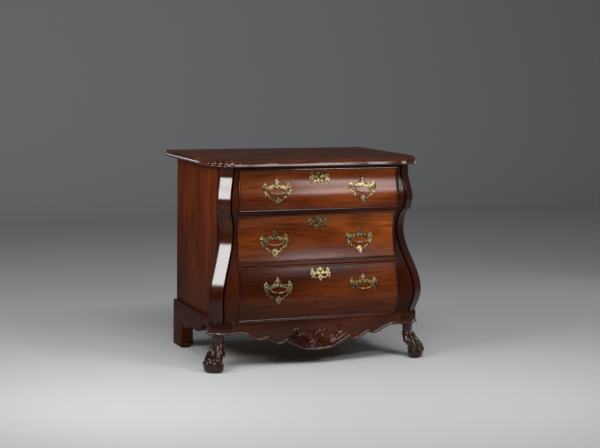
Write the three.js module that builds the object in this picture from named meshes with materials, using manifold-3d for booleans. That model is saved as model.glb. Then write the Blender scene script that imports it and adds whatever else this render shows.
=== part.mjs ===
// A three-drawer bombe chest in mahogany with pierced brass handles.
// Millimetres, +X to the right, +Y to the back, +Z up. While it is drawn, y = 0 is the front
// of the case at its waist. The finished chest is centred on its own length and depth.

import * as THREE from 'three';
import { mergeVertices } from 'three/addons/utils/BufferGeometryUtils.js';
import Module from 'manifold-3d';

const wasm = await Module();
wasm.setup();

// Heights of the chest from the floor up.
const chestHeight = 840;
const topThickness = 28;
const plinthTop = 194;
const beadHeight = 150;
const railThickness = 14;
const topRailThickness = 11;
const bottomDrawerShare = 0.378;
const middleDrawerShare = 0.33;

// Plan of the case.
const drawerOpeningHalf = 347;
const waistStileWidth = 17;
const cantWidth = 42;
const cantDepth = 30;
const sideReveal = 2;
const caseDepth = 573;
const frontSwell = 57;
const sideSwell = 60;
const postDepth = 60;
const postEarThickness = 10;
const panelThickness = 18;
const backThickness = 10;

// The top board.
const topFrontReach = 66;
const topCentreRise = 9;
const topSideOverhang = 52;
const topBackOverhang = 5;
const topEdgeRound = 14;

// Boards of the base.
const plinthOverhang = 16;
const plinthProud = 3;
const cornerBlockDepth = 59;
const apronThickness = 24;
const apronLap = 25;
const beadRadius = 6;
const beadProud = 5;
const beadCrownShare = 0.5;
const bottomBoardThickness = 14;
const apronDepthAtCentre = 129;
const rearFootWidth = 115;

// Front feet.
const legTopInset = 12;
const legTopY = 1;
const legSplay = 29;
const legTopHalf = 25;
const legDepthShare = 0.84;
const ballRadius = 29;
const ballDepthShare = 0.86;
const ballWidthShare = 1.26;
const toeRadius = 8.5;
const padRadius = 26;
const padTopRadius = 30;
const padHeight = 14;
const padRise = 2;

// Drawers.
const drawerGap = 1.5;
const frontThickness = 24;
const drawerSideThickness = 12;
const drawerBottomThickness = 8;
const drawerBottomRise = 10;
const drawerBackGap = 25;
const drawerSideDrop = 14;
const drawerBoxGap = 4;
const runnerHeight = 12;
const guideHeight = 30;
const runnerLap = 20;

// Handles, escutcheons and locks.
const handleSpan = 187;
const plateEarReach = 10;
const plateThickness = 3;
const postSpacingHalf = 51;
const pivotReach = 10;
const postRadius = 4.5;
const postFootRadius = 5.6;
const bailRadius = 2;
const pinClearance = 0.5;
const bailDrop = 23;
const bailKnobRadius = 3.6;
const keyholeDrop = 29;
const escutcheonHalfWidth = 45;
const escutcheonThickness = 2.5;
const keyholeRadius = 3;
const keyholeSlot = 7;
const lockWidth = 58;
const lockHeight = 42;
const lockThickness = 13;
const boltWidth = 22;
const boltThickness = 6;
const boltLength = 20;
const boltThrow = 8;

// Clearances and overruns.
const fit = 0.3;
const slide = 0.6;
const overrun = 5;
const weld = 1e-4;
const facetCount = 26;

// Heights and places that follow from the sizes above.
const topUnderside = chestHeight - topThickness;
const caseHeight = topUnderside - plinthTop;
const clearHeight = caseHeight - 2 * railThickness - topRailThickness;
const lowerRailTop = plinthTop + clearHeight * bottomDrawerShare + railThickness;
const upperRailTop = lowerRailTop + clearHeight * middleDrawerShare + railThickness;
const waistHalf = drawerOpeningHalf + waistStileWidth;
const sideHalf = waistHalf + cantWidth + sideReveal;
const panelInner = sideHalf - panelThickness;
const topSideHalf = sideHalf + topSideOverhang;
const apronHalf = drawerOpeningHalf + apronLap;
const legTopX = sideHalf + legTopInset;
const plateHalfWidth = postSpacingHalf + plateEarReach;
const pinHoleRadius = bailRadius + pinClearance;
const facetHeight = caseHeight / facetCount;
const topBack = caseDepth + topBackOverhang;
const frontReach = topFrontReach + topCentreRise;

const drawers = [
  { name: 'top', floor: upperRailTop, ceiling: topUnderside - topRailThickness, handleShare: 0.861 },
  { name: 'middle', floor: lowerRailTop, ceiling: upperRailTop - railThickness, handleShare: 0.524 },
  { name: 'bottom', floor: plinthTop, ceiling: lowerRailTop - railThickness, handleShare: 0.225 },
];

// Finishes.
function finish(color, roughness, metalness) {
  return new THREE.MeshStandardMaterial({ color, roughness, metalness });
}
const mahogany = finish(0x6e3012, 0.3, 0);
const darkMahogany = finish(0x3c140a, 0.32, 0);
const topMahogany = finish(0x46291f, 0.25, 0);
const oak = finish(0x8a6a44, 0.75, 0);
const brass = finish(0x96824f, 0.38, 1);
const lockBrass = finish(0xa08a55, 0.45, 1);

// The swell of the case. Each row is a height as a share of the case height, then how far the
// front and the side stand out there as shares of their full swell.
const swellShares = [
  [0, 0.49, 0.8],
  [0.147, 1, 1],
  [0.568, 0, 0],
  [0.63, 0.05, 0.05],
  [0.668, 0.17, 0.14],
  [0.695, 0.34, 0.26],
  [0.722, 0.49, 0.33],
  [0.773, 0.61, 0.375],
  [0.94, 0.3, 0.12],
  [1, 0.38, 0.09],
];

// A smooth curve through rows of [place, value], flat at each bulge and hollow.
function smoothThrough(rows) {
  const rise = rows.slice(1).map((row, i) => (row[1] - rows[i][1]) / (row[0] - rows[i][0]));
  const slope = rows.map((row, i) => {
    if (i === 0) return rise[0];
    if (i === rows.length - 1) return rise[i - 1];
    const turns = rise[i - 1] * rise[i] <= 0;
    return turns ? 0 : (2 * rise[i - 1] * rise[i]) / (rise[i - 1] + rise[i]);
  });
  return (place) => {
    let i = rows.findIndex((row, n) => n > 0 && place <= row[0]);
    if (i < 0) i = rows.length - 1;
    const span = rows[i][0] - rows[i - 1][0];
    const t = THREE.MathUtils.clamp((place - rows[i - 1][0]) / span, 0, 1);
    const startShape = (1 + 2 * t) * (1 - t) ** 2;
    const endShape = t * t * (3 - 2 * t);
    const leaving = t * (1 - t) ** 2 * span * slope[i - 1];
    const arriving = t * t * (t - 1) * span * slope[i];
    return rows[i - 1][1] * startShape + rows[i][1] * endShape + leaving + arriving;
  };
}

const frontShareAt = smoothThrough(swellShares.map((row) => [row[0], row[1]]));
const sideShareAt = smoothThrough(swellShares.map((row) => [row[0], row[2]]));
const frontAtLevel = (z) => -frontSwell * frontShareAt((z - plinthTop) / caseHeight);
const sideAtLevel = (z) => sideSwell * sideShareAt((z - plinthTop) / caseHeight);

// Faces of the base that follow from the swell.
const apronFront = frontAtLevel(plinthTop) - plinthProud;
const plinthInner = panelInner;
const plinthThickness = panelThickness + plinthOverhang;
const cornerBlockBack = apronFront + cornerBlockDepth;
const legTop = beadHeight - beadRadius;

// All curved fronts are faceted at the same heights, so that neighbours stay parallel.
function levels(from, to) {
  const first = Math.floor((from - plinthTop) / facetHeight + weld) + 1;
  const last = Math.ceil((to - plinthTop) / facetHeight - weld) - 1;
  const inner = [];
  for (let i = first; i <= last; i += 1) inner.push(plinthTop + i * facetHeight);
  return [from, ...inner, to];
}

// The faceted front between two of those heights.
function frontY(z) {
  const step = (z - plinthTop) / facetHeight;
  const low = plinthTop + Math.floor(step + weld) * facetHeight;
  const share = (z - low) / facetHeight;
  return THREE.MathUtils.lerp(frontAtLevel(low), frontAtLevel(low + facetHeight), share);
}

// Solids, joins and cuts.
function welded(geometry) {
  const bare = geometry.clone();
  bare.deleteAttribute('normal');
  bare.deleteAttribute('uv');
  return mergeVertices(bare, weld);
}

function toSolid(geometry) {
  const bare = welded(geometry);
  const vertProperties = new Float32Array(bare.attributes.position.array);
  const triVerts = new Uint32Array(bare.index.array);
  return new wasm.Manifold(new wasm.Mesh({ numProp: 3, vertProperties, triVerts }));
}

function toGeometry(solid) {
  const mesh = solid.getMesh();
  const geometry = new THREE.BufferGeometry();
  geometry.setAttribute('position', new THREE.BufferAttribute(mesh.vertProperties, 3));
  geometry.setIndex(new THREE.BufferAttribute(mesh.triVerts, 1));
  return geometry;
}

const join = (...pieces) => toGeometry(pieces.map(toSolid).reduce((sum, piece) => sum.add(piece)));

function cut(body, ...tools) {
  return toGeometry(tools.map(toSolid).reduce((rest, tool) => rest.subtract(tool), toSolid(body)));
}

function mirrored(geometry) {
  const copy = geometry.index ? geometry.toNonIndexed() : geometry.clone();
  copy.scale(-1, 1, 1);
  const place = copy.attributes.position;
  for (let i = 0; i < place.count; i += 3) {
    const keep = new THREE.Vector3().fromBufferAttribute(place, i);
    place.setXYZ(i, place.getX(i + 1), place.getY(i + 1), place.getZ(i + 1));
    place.setXYZ(i + 1, keep.x, keep.y, keep.z);
  }
  return copy;
}

const flat = (x, y) => new THREE.Vector2(x, y);

function extruded(outline, depth, holes = []) {
  const clockwise = THREE.ShapeUtils.isClockWise(outline);
  const shape = new THREE.Shape(clockwise ? [...outline].reverse() : outline);
  shape.holes = holes.map((hole) => new THREE.Path(hole));
  return new THREE.ExtrudeGeometry(shape, { depth, bevelEnabled: false, steps: 1 });
}

// An outline of (y, z) points carried along X.
function alongX(outline, from, to) {
  const turn = new THREE.Matrix4().makeBasis(
    new THREE.Vector3(0, 1, 0),
    new THREE.Vector3(0, 0, 1),
    new THREE.Vector3(1, 0, 0),
  );
  return extruded(outline, to - from).applyMatrix4(turn).translate(from, 0, 0);
}

// An outline of (x, z) points carried from the back face to the front face.
function alongY(outline, front, back, holes = []) {
  const turn = new THREE.Matrix4().makeBasis(
    new THREE.Vector3(1, 0, 0),
    new THREE.Vector3(0, 0, 1),
    new THREE.Vector3(0, -1, 0),
  );
  return extruded(outline, back - front, holes).applyMatrix4(turn).translate(0, back, 0);
}

// An outline of (x, y) points carried up.
function alongZ(outline, from, to) {
  return extruded(outline, to - from).translate(0, 0, from);
}

function box(x0, x1, y0, y1, z0, z1) {
  const block = new THREE.BoxGeometry(x1 - x0, y1 - y0, z1 - z0);
  return block.translate((x0 + x1) / 2, (y0 + y1) / 2, (z0 + z1) / 2);
}

// A skin over rings of equal point count, closed at both ends. Rings run anticlockwise
// seen from the end that the skin runs to.
function loft(rings) {
  const count = rings[0].length;
  const points = rings.flat();
  const faces = [];
  for (let r = 0; r < rings.length - 1; r += 1) {
    for (let i = 0; i < count; i += 1) {
      const a = r * count + i;
      const b = r * count + ((i + 1) % count);
      faces.push(a, b, b + count, a, b + count, a + count);
    }
  }
  const middle = (ring) => ring.reduce((sum, p) => sum.add(p), new THREE.Vector3()).divideScalar(count);
  const start = points.push(middle(rings[0])) - 1;
  const end = points.push(middle(rings.at(-1))) - 1;
  const last = (rings.length - 1) * count;
  for (let i = 0; i < count; i += 1) {
    const next = (i + 1) % count;
    faces.push(start, next, i, end, last + i, last + next);
  }
  const geometry = new THREE.BufferGeometry().setFromPoints(points);
  geometry.setIndex(faces);
  return geometry;
}

// Points of a bowed run between two points. A positive bow lies to the right of the way.
function bowed(from, to, bow, steps) {
  const along = to.clone().sub(from);
  const side = flat(along.y, -along.x).normalize().multiplyScalar(2 * bow);
  const middle = from.clone().add(to).multiplyScalar(0.5).add(side);
  return new THREE.QuadraticBezierCurve(from, middle, to).getPoints(steps).slice(1);
}

// Lobes from cusp to cusp. Each row is a cusp and the bow of the lobe that leads to it.
function lobed(rows, steps) {
  const points = [rows[0][0]];
  rows.slice(1).forEach(([cusp, bow]) => points.push(...bowed(points.at(-1), cusp, bow, steps)));
  return points;
}

const flipX = (points) => points.map((p) => flat(-p.x, p.y)).reverse();

// Whole outline from its right half, which starts and ends on the middle line.
const bothSides = (half) => [...half, ...flipX(half).slice(1, -1)];

// Top board: lobes between cusps on the front and the front corners, straight to the back.
const topLobeShares = { front: 0.44, mid: 0.76, nose: 0.855, corner: 0.916, ear: 0.953, side: 0.989 };
const topNoseShares = { nose: 0.85, corner: 0.455 };
const topSideShares = { ear: 0.007, side: 0.08, back: 0.277 };
const topLobeRise = 4.5;
const topMiddleRise = 2;
const topLobeSteps = 5;

function topOutline() {
  const front = -topFrontReach;
  const rows = [
    [flat(0, -frontReach)],
    [flat(topSideHalf * topLobeShares.front, front), topMiddleRise],
    [flat(topSideHalf * topLobeShares.mid, front), topLobeRise],
    [flat(topSideHalf * topLobeShares.nose, front * topNoseShares.nose), topLobeRise],
    [flat(topSideHalf * topLobeShares.corner, front * topNoseShares.corner), topLobeRise],
    [flat(topSideHalf * topLobeShares.ear, topBack * topSideShares.ear), topLobeRise],
    [flat(topSideHalf * topLobeShares.side, topBack * topSideShares.side), topLobeRise],
    [flat(topSideHalf, topBack * topSideShares.back), topLobeRise],
  ];
  const curved = lobed(rows, topLobeSteps);
  return bothSides([...curved, flat(topSideHalf, topBack), flat(0, topBack)]);
}

// Heights through the edge moulding, as shares of the thickness, and how far each is set in.
const topEdgeShares = [
  [0, 1],
  [0.12, 0.42],
  [0.28, 0.1],
  [0.46, 0],
  [0.64, 0.08],
  [0.78, 0.32],
  [0.82, 0.56],
  [0.96, 0.64],
  [1, 0.8],
];

function topBoard() {
  const outline = topOutline();
  const rings = topEdgeShares.map(([height, inset]) => {
    const wide = 1 - (inset * topEdgeRound) / topSideHalf;
    const deep = 1 - (inset * topEdgeRound) / (topBack + topFrontReach);
    const z = topUnderside + height * topThickness;
    return outline.map((p) => new THREE.Vector3(p.x * wide, topBack + (p.y - topBack) * deep, z));
  });
  return loft(rings);
}

// Corner post: stile, canted face and the ear that stands out past the side panel.
function cornerPost() {
  const rings = levels(plinthTop, topUnderside).map((z) => {
    const front = frontAtLevel(z);
    const arris = waistHalf + sideAtLevel(z);
    const outer = arris + cantWidth;
    const earBack = front + cantDepth + postEarThickness;
    const plan = [
      [drawerOpeningHalf, front],
      [arris, front],
      [outer, front + cantDepth],
      [outer, earBack],
      [sideHalf, Math.min(earBack, postDepth - sideReveal)],
      [sideHalf, postDepth],
      [drawerOpeningHalf, postDepth],
    ];
    return plan.map(([x, y]) => new THREE.Vector3(x, y, z));
  });
  return loft(rings);
}

const sidePanel = () => box(panelInner, sideHalf, postDepth, caseDepth, plinthTop, topUnderside);

// The bottom board carries the lowest runners, and the back panel closes the case down to it.
const bottomBoardTop = plinthTop - runnerHeight;

function backPanel() {
  return box(-panelInner, panelInner, caseDepth - backThickness, caseDepth, bottomBoardTop, topUnderside);
}

// A rail between the posts. Its front follows the case.
function rail(bottom, top) {
  const heights = levels(bottom, top);
  const outline = [
    ...heights.map((z) => flat(frontY(z), z)),
    flat(postDepth, top),
    flat(postDepth, bottom),
  ];
  return alongX(outline, -drawerOpeningHalf, drawerOpeningHalf);
}

// Locks are let into the back of each drawer front at its top edge.
const drawerTopOf = (drawer) => drawer.ceiling - drawerGap;

function lockPlaneY(drawer) {
  const top = drawerTopOf(drawer);
  const faces = levels(top - lockHeight, top).map((z) => frontY(z) + frontThickness);
  return Math.min(...faces) + fit;
}

const boltY = (drawer) => lockPlaneY(drawer) + lockThickness / 2;

// The mortise in the underside of a rail that takes the bolt of the drawer below it.
function boltMortise(drawer) {
  const middle = boltY(drawer);
  const thick = boltThickness / 2 + slide;
  const wide = boltWidth / 2 + slide;
  const top = drawer.ceiling + boltThrow;
  return box(-wide, wide, middle - thick, middle + thick, drawer.ceiling - overrun, top);
}

function railOver(drawer, thickness) {
  return cut(rail(drawer.ceiling, drawer.ceiling + thickness), boltMortise(drawer));
}

// Runner: the drawer side rests on its ledge and is kept straight by its upright guide.
function runner(floor) {
  const ledge = drawerOpeningHalf - drawerBoxGap - runnerLap;
  const guide = drawerOpeningHalf - drawerBoxGap + slide;
  const end = caseDepth - backThickness;
  const outline = [
    flat(ledge, floor - runnerHeight),
    flat(panelInner, floor - runnerHeight),
    flat(panelInner, floor + guideHeight),
    flat(guide, floor + guideHeight),
    flat(guide, floor),
    flat(ledge, floor),
  ];
  return alongY(outline, postDepth, end);
}

function bottomBoard() {
  const front = apronFront + apronThickness;
  const back = caseDepth - plinthThickness;
  const underside = bottomBoardTop - bottomBoardThickness;
  return box(-panelInner, panelInner, front, back, underside, bottomBoardTop);
}

// Lower edge of the apron from the middle to its end, as shares of its half length and of its
// depth at the middle, with the bow of the lobe that leads to each cusp.
const apronEdgeShares = [
  [0, 1, 0],
  [0.376, 0.674, 0.09],
  [0.605, 0.556, 0.11],
  [0.82, 0.43, 0.085],
];
const apronEndBowShare = -0.03;
const apronLobeSteps = 5;
const apronDrop = apronDepthAtCentre + beadRadius;

function apronEdge() {
  const rows = apronEdgeShares.map(([along, down, bow]) => {
    return [flat(apronHalf * along, plinthTop - apronDrop * down), apronDrop * bow];
  });
  rows.push([flat(apronHalf, legTop), apronDrop * apronEndBowShare]);
  return lobed(rows, apronLobeSteps);
}

// A band of the front face between two lifts above the lower edge.
function apronBand(edge, lowLift, highLift, proud) {
  const low = edge.map((p) => flat(p.x, p.y + lowLift));
  const high = edge.map((p) => flat(p.x, p.y + highLift)).reverse();
  return alongY([...low, ...high], apronFront - proud, apronFront + beadProud);
}

function apron() {
  const half = apronEdge();
  const edge = [...flipX(half).slice(0, -1), ...half];
  const board = alongY(
    [...edge, flat(apronHalf, plinthTop), flat(-apronHalf, plinthTop)],
    apronFront,
    apronFront + apronThickness,
  );
  const bead = apronBand(edge, 0, 2 * beadRadius, beadProud / 2);
  const crown = apronBand(edge, beadRadius * beadCrownShare, beadRadius * (2 - beadCrownShare), beadProud);
  return join(board, bead, crown);
}

// Canted block under each corner post, with the bead that runs round it.
function cornerBlock() {
  const arris = waistHalf + sideAtLevel(plinthTop) + plinthProud;
  const outer = arris + cantWidth;
  const inner = apronHalf + fit;
  const boardBack = apronFront + apronThickness;
  const plan = (grow) => [
    flat(inner, apronFront - grow),
    flat(arris + grow / 2, apronFront - grow),
    flat(outer + grow, apronFront + cantDepth - grow / 2),
    flat(outer + grow, cornerBlockBack),
    flat(plinthInner, cornerBlockBack),
    flat(plinthInner, boardBack),
    flat(inner, boardBack),
  ];
  const block = alongZ(plan(0), legTop, plinthTop);
  const lower = alongZ(plan(beadProud / 2), legTop, beadHeight + beadRadius);
  const crownRise = beadRadius * (1 - beadCrownShare);
  const crown = alongZ(plan(beadProud), beadHeight - crownRise, beadHeight + crownRise);
  return join(block, lower, crown);
}

// Plinth boards with a lobed lower edge. The rear end runs down as a bracket foot.
const plinthEdgeShares = [
  [0, 0.755, 0],
  [0.27, 0.775, -0.02],
  [0.53, 0.6, 0.04],
  [0.74, 0.535, 0.025],
  [0.763, 0.45, -0.02],
];
const plinthLobeSteps = 5;

function plinthSide() {
  const length = caseDepth - cornerBlockBack;
  const footFront = caseDepth - rearFootWidth;
  const reach = (footFront - cornerBlockBack) / plinthEdgeShares.at(-1)[0];
  const rows = plinthEdgeShares.map(([along, height, bow]) => {
    return [flat(cornerBlockBack + reach * along, plinthTop * height), length * bow];
  });
  const outline = [
    ...lobed(rows, plinthLobeSteps),
    flat(footFront, 0),
    flat(caseDepth, 0),
    flat(caseDepth, plinthTop),
    flat(cornerBlockBack, plinthTop),
  ];
  return alongX(outline, plinthInner, plinthInner + plinthThickness);
}

// The rear board is cut away between its two feet.
const backEdgeShares = [
  [0, 0.62, 0],
  [0.83, 0.62, 0.01],
  [0.885, 0.53, -0.01],
];

function plinthBack() {
  const footInner = plinthInner * backEdgeShares.at(-1)[0];
  const rows = backEdgeShares.map(([along, height, bow]) => {
    return [flat(plinthInner * along, plinthTop * height), plinthTop * bow];
  });
  const half = [
    ...lobed(rows, plinthLobeSteps),
    flat(footInner, 0),
    flat(plinthInner, 0),
    flat(plinthInner, bottomBoardTop),
    flat(0, bottomBoardTop),
  ];
  return alongY(bothSides(half), caseDepth - plinthThickness, caseDepth);
}

// Front foot: a short cabriole leg splayed along the corner, ending in claws round a ball.
// Rows run from the top of the leg down: height, half width and outward travel, as shares.
const legShares = [
  [1, 1, 0],
  [0.89, 0.93, 0],
  [0.785, 0.9, 0.02],
  [0.71, 0.92, 0.12],
  [0.625, 1.02, 0.35],
  [0.53, 1.14, 0.66],
  [0.43, 1.22, 0.9],
  [0.35, 1.18, 1],
  [0.26, 1, 1],
];
const legSides = 16;
const legSquareness = 3.2;
const outward = new THREE.Vector3(1, -1, 0).normalize();
const across = new THREE.Vector3(1, 1, 0).normalize();

function legRing(height, half, travel) {
  const centre = new THREE.Vector3(legTopX, legTopY, height);
  centre.addScaledVector(new THREE.Vector3(1, -1, 0), travel);
  return Array.from({ length: legSides }, (_, i) => {
    const angle = (2 * Math.PI * (i + 0.5)) / legSides;
    const c = Math.cos(angle);
    const s = Math.sin(angle);
    const round = (Math.abs(c) ** legSquareness + Math.abs(s) ** legSquareness) ** (-1 / legSquareness);
    const point = centre.clone().addScaledVector(outward, half * round * c * legDepthShare);
    return point.addScaledVector(across, half * round * s);
  });
}

function leg() {
  const rows = legShares.map(([height, width, travel]) => {
    return legRing(legTop * height, legTopHalf * width, legSplay * travel);
  });
  return loft(rows.reverse());
}

// A toe is a tapering tube with two knuckles that arches over the ball from the ankle. It is
// drawn round the middle of a true ball, before the foot is widened.
const toeAngles = [-78, -27, 27, 78, 180];
const toeThicknessShares = [0.7, 0.95, 1.1, 0.8, 1.05, 0.85, 0.6, 0.28];
const toeStartDegrees = 14;
const toeEndDegrees = 124;
const toeSides = 8;

function toe(turnDegrees) {
  const turn = THREE.MathUtils.degToRad(turnDegrees);
  const away = new THREE.Vector3(Math.cos(turn), Math.sin(turn), 0);
  const up = new THREE.Vector3(0, 0, 1);
  const side = up.clone().cross(away);
  const rings = toeThicknessShares.map((thickness, i) => {
    const share = i / (toeThicknessShares.length - 1);
    const angle = THREE.MathUtils.degToRad(THREE.MathUtils.lerp(toeStartDegrees, toeEndDegrees, share));
    const out = away.clone().multiplyScalar(Math.sin(angle)).addScaledVector(up, Math.cos(angle));
    const middle = out.clone().multiplyScalar(ballRadius);
    return Array.from({ length: toeSides }, (_, k) => {
      const spin = (2 * Math.PI * k) / toeSides;
      const radius = toeRadius * thickness;
      const point = middle.clone().addScaledVector(out, radius * Math.cos(spin));
      return point.addScaledVector(side, -radius * Math.sin(spin));
    });
  });
  return loft(rings);
}

const ballSides = 18;
const ballRows = 10;

function clawFoot() {
  const rise = ballRadius + padRise;
  const ball = new THREE.SphereGeometry(ballRadius, ballSides, ballRows).rotateX(Math.PI / 2);
  const pad = new THREE.CylinderGeometry(padTopRadius, padRadius, padHeight, ballSides);
  pad.rotateX(Math.PI / 2).translate(0, 0, padHeight / 2 - rise);
  const foot = join(ball, pad, ...toeAngles.map(toe));
  foot.scale(ballDepthShare, ballWidthShare, 1).rotateZ(-Math.PI / 4);
  foot.translate(legTopX + legSplay, legTopY - legSplay, rise);
  return join(leg(), foot);
}

// Drawer pieces.
const frontHalf = drawerOpeningHalf - drawerGap;
const boxHalf = drawerOpeningHalf - drawerBoxGap;
const boxInner = boxHalf - drawerSideThickness;
const boxBack = caseDepth - backThickness - drawerBackGap;
const keyholeHeight = (drawer) => drawerTopOf(drawer) - keyholeDrop;

// Keyhole outline: a round bow and a slot below it.
const keyholeSides = 10;

function keyholeOutline(grow) {
  const radius = keyholeRadius + grow;
  const half = radius / 2;
  const openAngle = Math.asin(half / radius);
  const arc = Array.from({ length: keyholeSides + 1 }, (_, i) => {
    const share = i / keyholeSides;
    const angle = -Math.PI / 2 + openAngle + (2 * Math.PI - 2 * openAngle) * share;
    return flat(radius * Math.cos(angle), radius * Math.sin(angle));
  });
  return [...arc, flat(-half, -keyholeSlot - grow), flat(half, -keyholeSlot - grow)];
}

function keyholeTool(drawer, front, back) {
  return alongY(keyholeOutline(0), front, back).translate(0, 0, keyholeHeight(drawer));
}

function drawerFront(drawer) {
  const heights = levels(drawer.floor + drawerGap, drawerTopOf(drawer));
  const outline = [
    ...heights.map((z) => flat(frontY(z), z)),
    ...heights.reverse().map((z) => flat(frontY(z) + frontThickness, z)),
  ];
  const board = alongX(outline, -frontHalf, frontHalf);
  const plane = lockPlaneY(drawer);
  const half = lockWidth / 2 + fit;
  const top = drawerTopOf(drawer);
  const back = plane + lockThickness + frontSwell;
  const pocket = box(-half, half, plane - fit, back, top - lockHeight - fit, top + overrun);
  const keyhole = keyholeTool(drawer, frontY(keyholeHeight(drawer)) - frontSwell, plane + overrun);
  return cut(board, pocket, keyhole);
}

function drawerSide(drawer) {
  const heights = levels(drawer.floor + fit, drawer.ceiling - drawerSideDrop);
  const outline = [
    ...heights.map((z) => flat(frontY(z) + frontThickness + fit, z)),
    flat(boxBack, heights.at(-1)),
    flat(boxBack, heights[0]),
  ];
  return alongX(outline, boxInner, boxHalf);
}

const drawerBottomTop = (drawer) => drawer.floor + drawerBottomRise + drawerBottomThickness;

function drawerBack(drawer) {
  const front = boxBack - drawerSideThickness;
  const top = drawer.ceiling - drawerSideDrop;
  return box(-boxInner, boxInner, front, boxBack, drawerBottomTop(drawer), top);
}

function drawerBottom(drawer) {
  const bottom = drawer.floor + drawerBottomRise;
  const faces = levels(bottom, drawerBottomTop(drawer)).map((z) => frontY(z) + frontThickness);
  return box(-boxInner, boxInner, Math.max(...faces) + fit, boxBack, bottom, drawerBottomTop(drawer));
}

// Lock case with a channel that is open at the top for the bolt.
function lockCase(drawer) {
  const plane = lockPlaneY(drawer);
  const top = drawerTopOf(drawer);
  const middle = boltY(drawer);
  const thick = boltThickness / 2 + fit;
  const wide = boltWidth / 2 + fit;
  const half = lockWidth / 2;
  const body = box(-half, half, plane, plane + lockThickness, top - lockHeight, top);
  const channel = box(-wide, wide, middle - thick, middle + thick, top - boltLength - fit, top + overrun);
  const keyhole = keyholeTool(drawer, plane - overrun, plane + lockThickness + overrun);
  return cut(body, channel, keyhole);
}

function lockBolt() {
  const half = boltWidth / 2;
  return box(-half, half, -boltThickness / 2, boltThickness / 2, -boltLength, 0);
}

// Cuts the triangles of a flat plate at some heights, so that it can bend there.
function splitAt(geometry, heights) {
  const place = geometry.attributes.position;
  let triangles = [];
  for (let i = 0; i < place.count; i += 3) {
    triangles.push([0, 1, 2].map((n) => new THREE.Vector3().fromBufferAttribute(place, i + n)));
  }
  heights.forEach((height) => {
    triangles = triangles.flatMap((triangle) => {
      const above = triangle.some((p) => p.z > height + weld);
      const below = triangle.some((p) => p.z < height - weld);
      if (!above || !below) return [triangle];
      return [...fan(part(triangle, height, 1)), ...fan(part(triangle, height, -1))];
    });
  });
  return new THREE.BufferGeometry().setFromPoints(triangles.flat());
}

const fan = (ring) => ring.slice(2).map((p, i) => [ring[0], ring[i + 1], p]);

// The part of a triangle on one side of a height.
function part(triangle, height, side) {
  const kept = [];
  triangle.forEach((p, i) => {
    const next = triangle[(i + 1) % 3];
    const here = side * (p.z - height);
    const there = side * (next.z - height);
    if (here >= -weld) kept.push(p);
    if (Math.abs(here) > weld && Math.abs(there) > weld && here * there < 0) {
      const [low, high] = p.z < next.z ? [p, next] : [next, p];
      kept.push(low.clone().lerp(high, (height - low.z) / (high.z - low.z)));
    }
  });
  return kept;
}

// A pierced plate bent to the drawer front around a height.
function bentPlate(outline, holes, thickness, centreHeight) {
  const sheet = alongY(outline, -thickness, 0, holes);
  const heights = levels(plinthTop, topUnderside).map((z) => z - centreHeight);
  const split = splitAt(sheet, heights);
  const place = split.attributes.position;
  for (let i = 0; i < place.count; i += 1) {
    place.setY(i, place.getY(i) + frontY(place.getZ(i) + centreHeight) - fit);
  }
  return split;
}

// Right half of the back plate of a handle, from its finial down to its leaf, and the edge of
// the large opening under the bar, all as shares of the plate's half width.
const plateCrownShares = [
  [0, 0.64], [0.06, 0.54], [0.15, 0.43], [0.21, 0.36], [0.28, 0.23], [0.39, 0.155],
  [0.52, 0.13], [0.67, 0.14], [0.72, 0.2], [0.76, 0.3], [0.82, 0.36], [0.89, 0.26],
  [0.99, 0.13], [1, -0.13], [0.93, -0.28], [0.845, -0.39], [0.855, -0.5], [0.82, -0.61],
  [0.785, -0.5], [0.76, -0.4],
];
const plateGarlandShares = [
  [0.67, -0.42], [0.68, -0.54], [0.57, -0.65], [0.47, -0.67], [0.39, -0.79], [0.28, -0.84],
  [0.22, -0.8], [0.2, -0.86], [0.15, -0.97], [0.07, -1.08], [0, -1.14],
];
const plateOpeningShares = [
  [0, -0.01], [0.2, -0.02], [0.36, -0.075], [0.48, -0.12], [0.61, -0.14], [0.7, -0.2],
  [0.66, -0.33], [0.6, -0.42], [0.6, -0.51], [0.51, -0.58], [0.42, -0.6], [0.34, -0.7],
  [0.27, -0.76], [0.2, -0.73], [0.15, -0.69], [0.07, -0.63], [0, -0.61],
];
// The first rows of that edge run along the underside of the bar.
const underBarCount = 8;
const plateEyeShares = [[0.09, 0.21], [0.24, 0.19], [0.16, 0.33]];

const scaled = (shares, size) => shares.map(([x, z]) => flat(x * size, z * size));

function plateOutline(garland) {
  if (garland) return bothSides(scaled([...plateCrownShares, ...plateGarlandShares], plateHalfWidth));
  const lowerEdge = plateOpeningShares.slice(0, underBarCount).reverse();
  return bothSides(scaled([...plateCrownShares, ...lowerEdge], plateHalfWidth));
}

function handlePlate(height, garland) {
  const eye = scaled(plateEyeShares, plateHalfWidth);
  const openings = [eye, flipX(eye)];
  if (garland) openings.push(bothSides(scaled(plateOpeningShares, plateHalfWidth)));
  const plate = bentPlate(plateOutline(garland), openings, plateThickness, height);
  const posts = [-1, 1].map((side) => handlePost(height, side));
  return join(plate, ...posts);
}

const plateFrontY = (height) => frontY(height) - fit - plateThickness;
const pivotY = (height) => plateFrontY(height) - pivotReach;

// A post of a handle, with the hole for the pin of the bail in its inner side.
const postSides = 12;

function handlePost(height, side) {
  const start = plateFrontY(height) + plateThickness / 2;
  const end = pivotY(height) - postRadius;
  const post = new THREE.CylinderGeometry(postRadius, postFootRadius, start - end, postSides);
  post.translate(0, -(start + end) / 2, 0).rotateX(Math.PI);
  post.translate(side * postSpacingHalf, 0, 0);
  const hole = new THREE.CylinderGeometry(pinHoleRadius, pinHoleRadius, 2 * postRadius, postSides);
  hole.rotateZ(Math.PI / 2).translate(side * (postSpacingHalf - postRadius), pivotY(height), 0);
  return cut(post, hole);
}

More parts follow.
